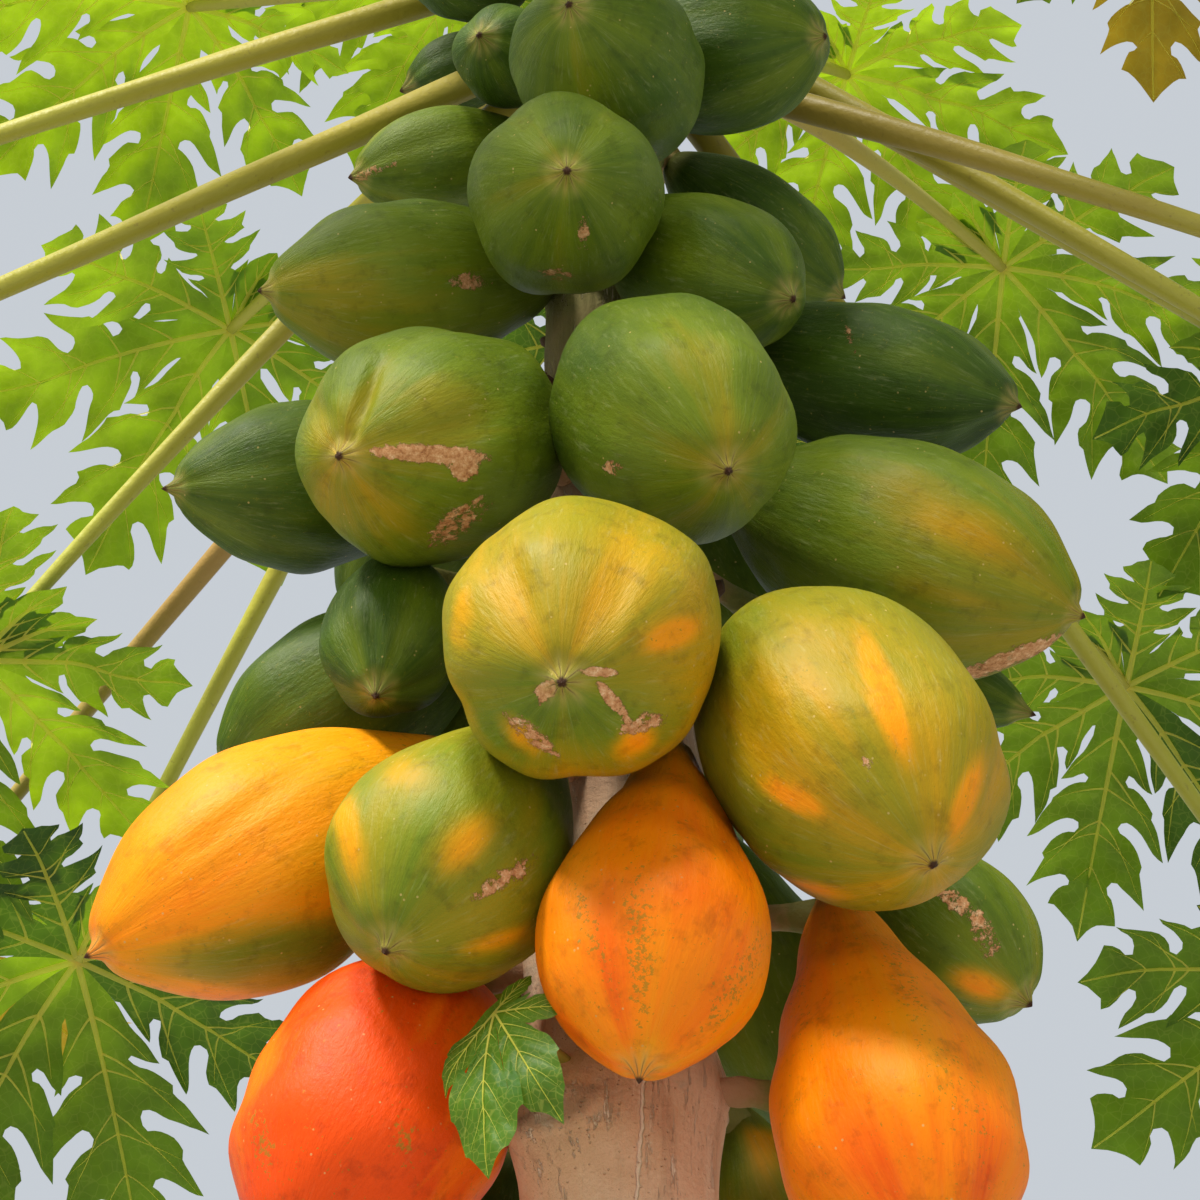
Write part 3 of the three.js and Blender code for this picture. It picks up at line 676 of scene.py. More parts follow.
def bark():
    """Tan bark: pale vertical cracks and one long seam, old leaf scars, green skin near the crown, and
    painted shade among the fruits.
    """
    s = Surface("bark")
    place = s.place()
    upright = s.stretch(place, (1, 1, .09))
    colour = s.ramp(s.noise(place, 9, 5), [
        (.3, (188, 142, 110)), (.46, (216, 172, 134)), (.6, (232, 192, 156)), (.75, (240, 212, 180))])
    stain = s.steps(s.noise(upright, 36, 5, .65), .48, .32)
    colour = s.lay(colour, stain, .55, (150, 102, 74))
    pale = s.steps(s.noise(upright, 64, 5, .7), .54, .66)
    colour = s.lay(colour, pale, .5, (240, 214, 182))
    lichen = s.steps(s.noise(place, 21, 5, .65), .56, .66)
    colour = s.lay(colour, lichen, .5, (176, 160, 138))
    cloudy = s.scaled(s.noise(place, 16, 4), .5, .75)
    colour = s.lay(colour, s.value("old"), cloudy, (130, 112, 95))
    # painted shade: the bark is darkened where the trunk stands among the fruits, where their shade falls
    colour = s.lay(colour, s.value("painted_shade"), cloudy, (118, 88, 66))
    colour = s.lay(colour, s.value("scar"), .45, (132, 100, 78))
    colour = s.lay(colour, s.value("rim"), .55, (100, 74, 56))
    fresh = s.math("ADD", s.value("fresh"), s.times(s.noise(place, 20, 3), .3))
    colour = s.mix(s.steps(fresh, .35, 1.05), colour, linear(122, 130, 62))
    crack = s.steps(s.noise(upright, 210, 5, .75), .56, .64)
    broken = s.steps(s.noise(place, 40, 4, .6), .40, .56)
    crack = s.math("MAXIMUM", s.times(crack, broken), bark_seam(s, place))
    colour = s.lay(colour, crack, .6, (240, 220, 192))
    grain = s.noise(place, 300, 5, .65)
    pits = s.steps(s.cells(place, 210), .16, .05)
    height = s.scaled(grain, .45, s.times(s.noise(upright, 120, 4, .6), .8))
    height = s.math("SUBTRACT", height, s.times(pits, .35))
    height = s.math("SUBTRACT", height, s.times(crack, .4))
    normal = s.bump(height, .003, .9)
    return s.finish(Base_Color=colour, Roughness=.85, Specular_IOR_Level=.22, Normal=normal)


def bark_seam(s, place):
    """One long pale seam up the front of the trunk, under the lowest fruits."""
    parts = s.node("SeparateXYZ", Vector=place)
    line = s.scaled(parts.outputs["Z"], SEAM["slope"], SEAM["across"] - SEAM["up"] * SEAM["slope"])
    wobble = s.scaled(s.noise(place, 34, 4, .6), .010, -.005)
    aside = s.math("SUBTRACT", parts.outputs["X"], s.math("ADD", line, wobble))
    seam = s.steps(s.math("ABSOLUTE", aside), .0014, .0004)
    front = s.steps(parts.outputs["Y"], -.005, -.02)
    from_middle = s.math("ABSOLUTE", s.math("SUBTRACT", parts.outputs["Z"], SEAM["up"]))
    ends = s.steps(from_middle, SEAM["reach"], SEAM["reach"] - .04)
    return s.times(s.times(seam, front), ends)


def fruit_skin():
    """Papaya skin, coloured by how ripe it is, with dots, flecks, corky scars and a dark star."""
    s = Surface("fruit_skin")
    place = s.place()
    skin = s.value("skin", "Vector")
    lengthwise = s.stretch(skin, (2.2, 2.2, .35))
    cloud = s.scaled(s.noise(place, 13, 3), .20, -.10)
    streak = s.scaled(s.noise(lengthwise, 2.6, 4), .18, -.09)
    ripe = s.math("ADD", s.math("ADD", s.value("ripe"), cloud), streak)
    colour = s.ramp(ripe, [
        (0, (34, 56, 10)), (.14, (66, 90, 16)), (.3, (108, 124, 20)), (.45, (150, 134, 16)),
        (.6, (200, 146, 8)), (.74, (240, 150, 4)), (.87, (250, 130, 0)), (.94, (244, 108, 0)),
        (1, (230, 74, 0))])
    mottle = s.steps(s.noise(place, 75, 4, .65), .5, .72)
    colour = s.lay(colour, mottle, .25, (60, 62, 20), "MULTIPLY")
    bloom = s.steps(s.noise(s.stretch(skin, (5, 5, 1.2)), 4, 5, .7), .52, .78)
    hazy = s.scaled(s.steps(ripe, .85, .55), .13, .03)
    colour = s.lay(colour, bloom, hazy, (202, 206, 150))
    dots = s.steps(s.cells(place, 150), .13, .06)
    some = s.steps(s.noise(place, 40, 2), .52, .60)
    colour = s.lay(colour, s.times(dots, some), .6, (206, 176, 110))
    fleck = s.scaled(s.value("speck"), .17, s.noise(place, 340, 4, .7))
    flecked = s.steps(fleck, .62, .70)
    colour = s.lay(colour, flecked, .6, (124, 122, 30))
    cork = s.value("cork")
    torn = s.scaled(s.noise(place, 170, 6, .8), 2.6, -1.3)
    corked = s.steps(s.math("ADD", cork, s.times(torn, s.steps(cork, 0, .1))), .40, .60)
    tan = s.ramp(s.noise(place, 240, 5, .75), [
        (.32, (142, 88, 50)), (.45, (192, 136, 88)), (.56, (212, 160, 112)), (.68, (236, 202, 158))])
    colour = s.mix(corked, colour, tan)
    parts = s.node("SeparateXYZ", Vector=skin)
    angle = s.math("ARCTAN2", parts.outputs["Y"], parts.outputs["X"])
    wobble = s.scaled(s.noise(place, 90, 2), 1.6, -.8)
    rays = s.math("ABSOLUTE", s.math("COSINE", s.scaled(angle, 5, wobble)))
    tip = s.value("tip")
    pale = s.times(s.steps(tip, .020, .004), s.scaled(s.math("POWER", rays, 3), .35, .2))
    colour = s.mix(pale, colour, linear(206, 184, 104))
    star = s.times(s.times(s.math("POWER", rays, 22), s.steps(tip, .014, .003)), .85)
    star = s.math("MAXIMUM", star, s.steps(tip, .0038, .0020))
    colour = s.mix(star, colour, linear(74, 46, 26))
    colour = s.lay(colour, s.steps(s.value("neck"), .016, .004), .6, (104, 104, 44))
    dents = s.times(s.noise(s.stretch(skin, (4, 4, 1.6)), 5, 5, .65), .55)
    height = s.scaled(corked, s.scaled(s.noise(place, 300, 5, .7), .6, .12),
                    s.scaled(s.noise(place, 420, 3, .6), .14, dents))
    normal = s.bump(height, .0016, .8)
    rough = s.scaled(s.noise(place, 22, 3), .16, .40)
    rough = s.scaled(corked, .35, rough)
    return s.finish(Base_Color=colour, Roughness=rough, Normal=normal, Specular_IOR_Level=.18)


def leaf_blade(name, shade, lit, net_scale, net_share):
    """A leaf's thin blade in one shade of green, with a fine net of paler veins."""
    s = Surface(name)
    place = s.place()
    patchy = s.scaled(s.noise(place, 24, 5, .6), 1.3, .35)
    net = s.steps(s.cells(place, net_scale, "DISTANCE_TO_EDGE"), .060, .012)
    colour = s.mix(1, linear(*shade), patchy, "MULTIPLY")
    colour = s.lay(colour, net, net_share, (172, 182, 84))
    through = s.mix(1, linear(*lit), patchy, "MULTIPLY")
    through = s.lay(through, net, net_share, (206, 214, 90))
    normal = s.bump(s.noise(place, 240, 3), .0005, .7)
    return s.finish_thin(.42, through, Base_Color=colour, Roughness=.48, Specular_IOR_Level=.3, Normal=normal)


def leaf_vein():
    s = Surface("leaf_vein")
    colour = s.ramp(s.scaled(s.noise(s.place(), 40, 2), .3, s.value("along")), [
        (.1, (232, 216, 116)), (.9, (204, 206, 84))])
    return s.finish_thin(.72, linear(255, 250, 150), Base_Color=colour, Roughness=.5, Specular_IOR_Level=.3)


def leaf_stalk():
    """A leaf's hollow stalk: brownish olive at its foot, pale yellow-green at the blade."""
    s = Surface("leaf_stalk")
    place = s.place()
    along = s.scaled(s.noise(place, 14, 3), .3, s.value("along"))
    tint = s.value("tint")
    young = s.ramp(along, [(.1, (126, 118, 32)), (.5, (166, 156, 48)), (1, (176, 178, 60))])
    old = s.ramp(along, [(.1, (124, 92, 46)), (.6, (160, 124, 62)), (1, (164, 146, 66))])
    colour = s.mix(tint, young, old)
    fleck = s.steps(s.noise(place, 210, 3, .6), .62, .72)
    colour = s.lay(colour, fleck, .35, (112, 92, 48))
    normal = s.bump(s.noise(place, 150, 4), .0012, .6)
    return s.finish(Base_Color=colour, Roughness=.46, Specular_IOR_Level=.4, Normal=normal)


def fruit_stalk():
    s = Surface("fruit_stalk")
    place = s.place()
    colour = s.ramp(s.scaled(s.noise(place, 60, 4), .6, s.value("along")), [
        (.2, (186, 138, 108)), (.8, (160, 124, 84)), (1.2, (118, 116, 52))])
    # the dry stalk ends' dark brown: partly their own dry colour, partly painted shade for the deep gaps
    # between the fruits
    colour = s.mix(s.value("dry"), colour, linear(88, 62, 44))
    normal = s.bump(s.noise(place, 260, 4), .002, .8)
    return s.finish(Base_Color=colour, Roughness=.7, Specular_IOR_Level=.3, Normal=normal)


def ground():
    s = Surface("ground")
    colour = s.mix(s.noise(s.place(), 3, 3), linear(166, 165, 162), linear(176, 175, 172))
    return s.finish(Base_Color=colour, Roughness=.9)


MATERIALS = {make.__name__: make() for make in (bark, fruit_skin, leaf_vein, leaf_stalk, fruit_stalk, ground)}
LEAF_SHADES = [leaf_blade("leaf_" + name, *values) for name, values in LEAF_COLOURS.items()]
YOUNG_SHADE = list(LEAF_COLOURS).index("young")
OLD_SHADE = list(LEAF_COLOURS).index("old")


# Trunk


def scar_fields(turn, heights, radius):
    """How far each point of the trunk lies in an old leaf scar, and on its raised rim."""
    scar = np.zeros(turn.shape)
    rim = np.zeros(turn.shape)
    half_width, half_height = SCAR_SIZE
    for number in range(int(TREE_TOP / SCAR_STEP)):
        rng = np.random.default_rng(number)
        height = (number + .5 + rng.uniform(-.2, .2)) * SCAR_STEP
        azimuth = math.radians(number * GOLDEN_TURN + rng.uniform(-9, 9))
        size = rng.uniform(.8, 1.25) * (1 if height < 2.6 else .75)
        rows = np.abs(heights[:, 0] - height) < 3 * half_height
        across = np.mod(turn[rows] - azimuth + math.pi, 2 * math.pi) - math.pi
        across = across * radius[rows] / (half_width * size)
        above = (heights[rows] - height) / (half_height * size) - .45 * across**2
        reach = np.sqrt(across**2 + above**2)
        reach += .10 * np.sin(5 * np.arctan2(above, across) + number)
        scar[rows] = np.maximum(scar[rows], smoothstep(1.0, .75, reach))
        rim[rows] = np.maximum(rim[rows], bell(reach - 1.05, .16) * rng.uniform(.5, 1))
    across = np.mod(turn - math.radians(KNOB["at"]) + math.pi, 2 * math.pi) - math.pi
    reach = np.hypot(across * radius, heights - KNOB["up"]) / KNOB["size"] * 1.7
    scar = np.maximum(scar, 1.6 * smoothstep(1.0, .7, reach))
    rim = np.maximum(rim, 1.5 * bell(reach - 1.1, .2))
    return scar, rim


def make_trunk():
    heights = np.linspace(0, TREE_TOP, int(TREE_TOP / TRUNK_STEP))[:, None]
    turn = np.linspace(0, 2 * math.pi, TRUNK_SIDES, endpoint=False)[None]
    middles = trunk_middle(heights[:, 0])[:, None]
    circle = np.stack([np.sin(turn), -np.cos(turn), np.zeros(turn.shape)], -1)
    radius = trunk_radius(heights) * np.ones(turn.shape)
    turn = turn * np.ones(heights.shape)
    flat = middles + circle * radius[..., None]
    scar, rim = scar_fields(turn, heights, radius)
    relief = BARK_WAVES * ripple(flat, .11, 3) + BARK_GRAIN * ripple(flat * [1, 1, .35], .018, 4)
    relief += RIM_HEIGHT * rim - SCAR_DEPTH * scar
    flare = np.exp(-heights / FLARE_HEIGHT)
    relief += BUTTRESS * flare * (np.cos(5 * turn + .6) + .5 * np.cos(8 * turn + 2))
    relief -= BUTTRESS_ROOM * flare
    for foot, size, swell in FEET:
        away = np.linalg.norm(flat - foot, axis=-1)
        relief += swell * size * bell(away, 1.6 * size)
    relief *= smoothstep(0, .012, TREE_TOP - heights)
    rings = flat + circle * relief[..., None]
    tones = dict(
        fresh=smoothstep(1.9, 3.0, heights),
        old=.75 * smoothstep(1.72, .9, heights),
        # painted shade on the trunk among the fruits, from about 2 m to 2.9 m up
        painted_shade=.8 * smoothstep(1.98, 2.14, heights) * smoothstep(2.9, 2.6, heights))
    tones = {name: tone * np.ones(turn.shape) for name, tone in tones.items()}
    values = {name: np.append(field, [0, 0]) for name, field in dict(scar=scar, rim=rim, **tones).items()}
    faces = ring_faces(*turn.shape)
    trunk = make_piece("trunk_bark", closed_points(rings), faces, [MATERIALS["bark"]], values)
    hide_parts("trunk")


# Fruits


def fruit_place(fruit):
    """A fruit's neck, its axis towards the tip, and the two directions square to it."""
    down = math.radians(fruit["down"])
    axis = outwards(fruit["at"] + fruit["turn"]) * math.cos(down) - np.array([0, 0, math.sin(down)])
    neck = around(fruit["at"], fruit["out"], fruit["up"]) - axis * fruit["long"] / 2
    normal = unit(np.array([0, 0, 1]) - axis * axis[2])
    return neck, axis, normal, np.cross(axis, normal)


def fruit_foot(neck):
    """Where a fruit's stalk leaves the trunk."""
    away = neck - trunk_middle(neck[2])
    height = neck[2] + STALK_RADIUS
    return around(math.degrees(math.atan2(away[0], -away[1])), trunk_radius(height), height)


def fruit_line(fruit, rows):
    """A fruit's outline from neck to tip: the way along its axis, and its radius."""
    form = FORMS[fruit["form"]]
    size = np.array([fruit["long"], fruit["wide"] / 2])
    inner = np.array([(-.006, .1)] + form["line"]) * size
    last = inner[-1]
    tip = np.array([fruit["long"], 0])
    beyond = tip + np.array([(tip[0] - last[0]) * form["beak"] * 1.6, -last[1] * (1 - .6 * form["beak"])])
    padded = np.vstack([inner[0] - (inner[1] - inner[0]) * [0, 1], inner, tip, beyond])
    return catmull_rom(padded, rows, 1.35)


def mark_fields(name, points, facing):
    """The marks on one fruit, at its points that face the photograph's camera."""
    pixels = photo_pixels(points)
    fields = {}
    for kind, core in MARK_CORES.items():
        join = np.add if kind == "ripe" else np.maximum
        field = np.zeros(len(points))
        for across, down, half_length, half_width, slope, strength in MARKS.get(name, {}).get(kind, []):
            cosine, sine = math.cos(math.radians(slope)), math.sin(math.radians(slope))
            x, y = (pixels - (across, down)).T
            reach = np.hypot((x * cosine + y * sine) / half_length, (y * cosine - x * sine) / half_width)
            field = join(field, smoothstep(MARK_END, core, reach) * facing * strength)
        fields[kind] = field
    return fields


def fruit_ridges(name, turn, share, rng):
    """An uneven turn round the fruit, how near it is to a ridge, and how far the skin swells there."""
    uneven = turn + .10 * np.sin(turn + rng.uniform(0, 6)) + .06 * np.sin(2 * turn + rng.uniform(0, 6))
    lobe = np.sqrt(np.cos(RIDGE_COUNT / 2 * uneven) ** 2 + .03)
    ridge = RIDGES.get(name, USUAL_RIDGE) * (.55 + .65 * smoothstep(.2, .95, share))
    swell = 1 + ridge * 2.4 * (lobe - .68)
    flat = .010 * np.cos(2 * turn + rng.uniform(0, 6))
    swell += flat + .008 * np.cos(turn * 3 + rng.uniform(0, 6) + 3 * share)
    return uneven, lobe, swell


def fruit_rings(name, turn, line, rng):
    """A fruit's rings of points, the way outwards at each, and the fields that its skin is coloured by."""
    fruit = FRUITS[name]
    length = fruit["long"]
    neck, axis, normal, binormal = fruit_place(fruit)
    along, radius = line[:, :1], line[:, 1:]
    share = along / length
    to_tip = np.hypot(length - along, radius)
    uneven, lobe, swell = fruit_ridges(name, turn, share, rng)
    crease = np.exp(-to_tip / TIP_CREASE) * (1 - lobe) ** 2
    radius = radius * swell * (1 - .3 * crease) * (1 - .10 * (1 - lobe) * bell(share, .10))
    nub = TIP_NUB * bell(to_tip, .0045) - TIP_DENT * bell(to_tip - .010, .006)
    level = math.cos(math.radians(fruit["down"]))
    sag = length * FRUIT_SAG * np.sin(math.pi * np.clip(share, 0, 1)) * level
    circle = np.cos(turn)[..., None] * normal + np.sin(turn)[..., None] * binormal
    rings = neck + axis * (along + nub)[..., None] + circle * radius[..., None] - normal * sag[..., None]
    waves = SKIN_WAVES * ripple(rings, .05, int(name[-2:]), 5) * smoothstep(0, .02, to_tip)
    rings += circle * waves[..., None]
    core = neck + axis * np.clip(along, .3 * length, .7 * length)[..., None]
    ones = np.ones(turn.shape)
    column = np.ones(share.shape)
    skin = np.stack([np.cos(uneven) * column, np.sin(uneven) * column, share * ones * 3], -1)
    fields = dict(lobe=lobe, share=share, tip=to_tip * ones, neck=np.maximum(along, 0) * ones, skin=skin)
    return rings, unit(rings - core), fields


def fruit_ripeness(name, rings, fields, patches):
    """How ripe the skin is at each point: riper in the furrows, towards the tip and in its patches."""
    share, to_tip = fields["share"], fields["tip"]
    ripe = FRUITS[name]["ripe"] + .05 * ripple(rings, .16, 50 + int(name[-2:]))
    ripe = ripe + .10 * (1 - fields["lobe"]) * smoothstep(.2, .9, share) + .05 * smoothstep(.02, 0, to_tip)
    ripe = (ripe + .06 * (share - .5)).ravel()
    patched = ripe + patches
    return np.where(patched > ripe, np.maximum(ripe, np.minimum(patched, PATCH_RIPENESS)), patched)


def make_fruit(name, stalks):
    fruit = FRUITS[name]
    rng = np.random.default_rng(100 + int(name[-2:]))
    fine = 2 if name in FINE_FRUITS else 1
    turn = np.linspace(0, 2 * math.pi, FRUIT_SIDES * fine, endpoint=False)[None]
    rings, outward, fields = fruit_rings(name, turn, fruit_line(fruit, FRUIT_ROWS * fine), rng)
    facing = smoothstep(-.05, .2, (unit(np.array(CAMERA_PLACE) - rings) * outward).sum(-1)).ravel()
    marks = mark_fields(name, rings.reshape(-1, 3), facing)
    rings -= outward * (FOLD_DEPTH * marks.pop("fold").reshape(rings.shape[:2]))[..., None]
    marks["ripe"] = fruit_ripeness(name, rings, fields, marks["ripe"])
    marks |= {key: fields[key].ravel() for key in ("tip", "neck")}
    values = {key: np.append(field, field[[0, -1]]) for key, field in marks.items()}
    values["skin"] = closed_points(fields["skin"])
    faces = ring_faces(*rings.shape[:2])
    piece = make_piece(name + "_skin", closed_points(rings), faces, [MATERIALS["fruit_skin"]], values)
    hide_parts(name)
    add_fruit_stalk(stalks, fruit)


def add_bowed(stalks, start, end, rise, radii, sides, uneven, dry=0):
    """A stalk from start to end that bows up by rise at its middle."""
    points = bezier(start, (start + end) / 2 + np.array([0, 0, rise]), end, len(radii))
    stalks.add_tube(points, radii, sides, uneven, dry=dry)


def add_fruit_stalk(stalks, fruit):
    """The stalk between trunk and fruit, swollen at its foot and spread where it holds the fruit."""
    neck, axis, _, _ = fruit_place(fruit)
    foot = fruit_foot(neck)
    start = foot - unit(foot - trunk_middle(foot[2])) * .006
    end = neck + axis * .010
    share = np.linspace(0, 1, 14)
    radii = STALK_RADIUS * (.92 + .5 * bell(share, .16) + .45 * smoothstep(.6, .95, share))
    add_bowed(stalks, start, end, .004, radii, 14, .05)


def add_stub(stalks):
    """A thick old stalk whose fruit is gone, bent a little down and broken off at a knotty end."""
    start = around(STUB["at"], trunk_radius(STUB["up"]) - .006, STUB["up"])
    end = start + outwards(STUB["at"] + 14) * STUB["out"] - np.array([0, 0, STUB["droop"]])
    share = np.linspace(0, 1, 22)
    radii = STUB["radius"] * (1 + .7 * bell(share, .14) + .35 * bell(share - .92, .08))
    add_bowed(stalks, start, end, STUB["droop"], radii * (1 + .06 * np.sin(share * 19)), 18, .08)


def add_dry_ends(stalks):
    """Short shrivelled ends of stalks, each with a ragged knot at its tip."""
    share = np.linspace(0, 1, 14)
    for number, (azimuth, up, out) in enumerate(DRY_ENDS):
        start = around(azimuth, trunk_radius(up) - .004, up)
        end = start + outwards(azimuth + 25 * math.sin(number * 2.1)) * out - np.array([0, 0, .3 * out])
        radii = DRY_END_RADIUS * (1 + .6 * bell(share, .2) + .9 * bell(share - .86, .12))
        radii *= 1 + .14 * np.sin(share * 23 + number)
        add_bowed(stalks, start, end, .2 * out, radii, 12, .2, dry=1)


# Leaves


def inside(points, outline):
    """Which points lie inside a closed outline."""
    x, y = points[:, 0, None], points[:, 1, None]
    x1, y1 = outline[:, 0], outline[:, 1]
    x2, y2 = np.roll(x1, -1), np.roll(y1, -1)
    spans = (y1 > y) != (y2 > y)
    crossing = x1 + (y - y1) * (x2 - x1) / np.where(y2 == y1, 1, y2 - y1)
    return (spans & (x < crossing)).sum(1) % 2 == 1


def distance_to(points, start, end):
    """How far points lie from the straight line between two points."""
    line = end - start
    share = np.clip((points - start) @ line / (line @ line), 0, 1)
    return np.linalg.norm(points - start - share[:, None] * line, axis=1)


def notches(kind):
    """Where each lobe parts from the next: direction, and distance as a share of the longest lobe."""
    lobes = kind["lobes"]
    cuts = []
    for (direction, _, reach), (following, _, _) in zip(lobes, lobes[1:] + lobes[:1]):
        gap = (following - direction) % 360
        cuts.append((direction + gap / 2, reach))
    return cuts


def polar(angle, reach):
    return np.array([math.cos(math.radians(angle)), math.sin(math.radians(angle))]) * reach


class Lobe:
    """One lobe of a leaf in the flat: its outline, its points and its veins, in shares of its leaf."""

    def __init__(self, kind, number, rng):
        cuts = notches(kind)
        self.direction, self.share, _ = kind["lobes"][number]
        self.before, self.after = cuts[number - 1], cuts[number]
        self.rng = rng
        side = "small" if self.share < SMALL_LOBE and kind["side"] == "grown" else kind["side"]
        self.side = SIDES[side]
        self.curve = rng.uniform(-LOBE_CURVE, LOBE_CURVE)
        self.roll = math.radians(rng.uniform(*LOBE_ROLL))
        self.droop = rng.uniform(*LOBE_DROOP)
        self.outline = self.make_outline()
        self.veins = self.make_veins(VEINS[side])

    def place(self, along, aside):
        """A point of the lobe, whose midrib curves a little sideways."""
        along = np.asarray(along, float)
        aside = np.asarray(aside, float)
        local = np.stack([along, aside + self.curve * along**2], -1) * self.share
        angle = math.radians(self.direction)
        turn = np.array([[math.cos(angle), math.sin(angle)], [-math.sin(angle), math.cos(angle)]])
        return local @ turn

    def make_side(self, sign):
        """The lobe's edge on one side, from its foot outwards: smooth stretches that meet in points."""
        shift = self.rng.uniform(-.02, .02) + .012 * sign
        wide = self.rng.uniform(.92, 1.06)
        corner = np.empty((0, 2))
        edge = []
        for stretch in self.side:
            points = np.array(stretch) * [1, wide] + self.rng.normal(0, .004, (len(stretch), 2))
            points[:, 0] += shift * np.sin(points[:, 0] * math.pi)
            points = np.vstack([corner, points])
            length = np.linalg.norm(np.diff(points, axis=0), axis=1).sum()
            line = spline(points, max(3, round(length * self.share / EDGE_SHARE)))
            edge.append(line[len(corner):])
            corner = points[-1:]
        along, aside = np.vstack(edge).T
        return self.place(along, sign * aside)

    def make_outline(self):
        before = polar(*self.before)
        after = polar(*self.after)
        steps = np.linspace(0, 1, 7)[1:, None]
        foot = [np.zeros((1, 2)), before * steps]
        edge = [self.make_side(-1), self.place(1, 0)[None], self.make_side(1)[::-1]]
        back = [(after * steps)[::-1]]
        return np.vstack(foot + edge + back)

    def make_veins(self, pattern):
        """The midrib, and then the veins that leave it, each with its line and its two radii."""
        reach = np.linspace(0, .985, 14)
        veins = [(self.place(reach, 0 * reach), 1.0, .22)]
        for start, end, aside in pattern:
            for sign in (-1, 1):
                share = np.linspace(0, 1, 9)
                along = start + (end - start) * share
                line = self.place(along, sign * aside * share**.85)
                outside = np.nonzero(~inside(line[1:], self.outline))[0]
                line = line[:outside[0] + 1] if len(outside) else line
                if len(line) > 2:
                    veins.append((line, .42 * (1 - start) + .12, .14))
        return veins

    def mesh(self):
        """Points and triangles of the lobe's blade."""
        low, high = self.outline.min(0), self.outline.max(0)
        columns = np.arange(low[0], high[0], GRID_SHARE)
        rows = np.arange(low[1], high[1], GRID_SHARE * .866)
        grid = np.stack(np.meshgrid(columns, rows), -1)
        grid[1::2, :, 0] += GRID_SHARE / 2
        grid = grid.reshape(-1, 2) + self.rng.normal(0, GRID_SHARE * .06, (grid.size // 2, 2))
        kept = inside(grid, self.outline)
        for start, end in zip(self.outline, np.roll(self.outline, -1, axis=0)):
            kept &= distance_to(grid, start, end) > GRID_SHARE * .42
        points = np.vstack([self.outline, grid[kept]])
        border = len(self.outline)
        loop = [list(range(border))]
        joined = geometry.delaunay_2d_cdt([Vector(point) for point in points], [], loop, 1, 1e-6)
        return np.array([tuple(point) for point in joined[0]]), [list(face) for face in joined[2]]

    def vein_distance(self, flat):
        """How far points lie from the lobe's nearest vein."""
        nearest = np.full(len(flat), 9.0)
        for line, _, _ in self.veins:
            for start, end in zip(line, line[1:]):
                nearest = np.minimum(nearest, distance_to(flat, start, end))
        return nearest

    def lift(self, flat, seed):
        """The height of the blade at points in the flat, as a share of the leaf's size."""
        reach = np.linalg.norm(flat, axis=1)
        rooted = max(.18, self.before[1] - .04, self.after[1] - .04)
        free = smoothstep(rooted, rooted + .24, reach)
        angle = math.radians(self.direction)
        along = flat @ np.array([math.cos(angle), math.sin(angle)]) / self.share
        aside = flat @ np.array([-math.sin(angle), math.cos(angle)]) - self.curve * along**2 * self.share
        height = -BLADE_BEND * reach**2
        height += free * (aside * math.tan(self.roll) - self.droop * self.share * along**2 - .45 * aside**2)
        for high, length, shift, wave_seed in BLADE_WAVES:
            place = np.column_stack([flat, np.full(len(flat), seed * shift)])
            height += free * high * ripple(place, length, wave_seed)
        rise, width = VEIN_GROOVE
        return height + rise * (1 - bell(self.vein_distance(flat), width))


def half_tube(line, radii, sides, face):
    """Half of a tube along a vein, in a leaf's own points: the lower half, or the upper where face is 1."""
    ahead = np.gradient(line, axis=0)
    aside = unit(np.column_stack([-ahead[:, 1], ahead[:, 0], 0 * ahead[:, 0]]))
    angles = np.linspace(0, math.pi, sides)
    bulge = np.array([0, 0, face])
    round_it = -face * np.cos(angles)[None, :, None] * aside[:, None] + np.sin(angles)[None, :, None] * bulge
    return (line[:, None] + round_it * radii[:, None, None]).reshape(-1, 3)


def strip_faces(rows, sides):
    """Quads between the rows of an open strip."""
    row, side = np.meshgrid(np.arange(rows - 1), np.arange(sides - 1), indexing="ij")
    first = row * sides + side
    return np.stack([first, first + 1, first + sides + 1, first + sides], -1).reshape(-1, 4).tolist()


def turned(x, y, angle):
    """Two coordinates, turned round the third."""
    return x * math.cos(angle) - y * math.sin(angle), x * math.sin(angle) + y * math.cos(angle)


def leaf_to_tree(local, leaf, middle):
    """A leaf's own points, outwards along x, set on the tree."""
    droop = math.radians(leaf["droop"])
    azimuth = math.radians(leaf["at"] - 90)
    x, y, z = local.T
    x, z = turned(x, z, -droop)
    x, y = turned(x, y, azimuth)
    return np.stack([x, y, z], -1) + middle


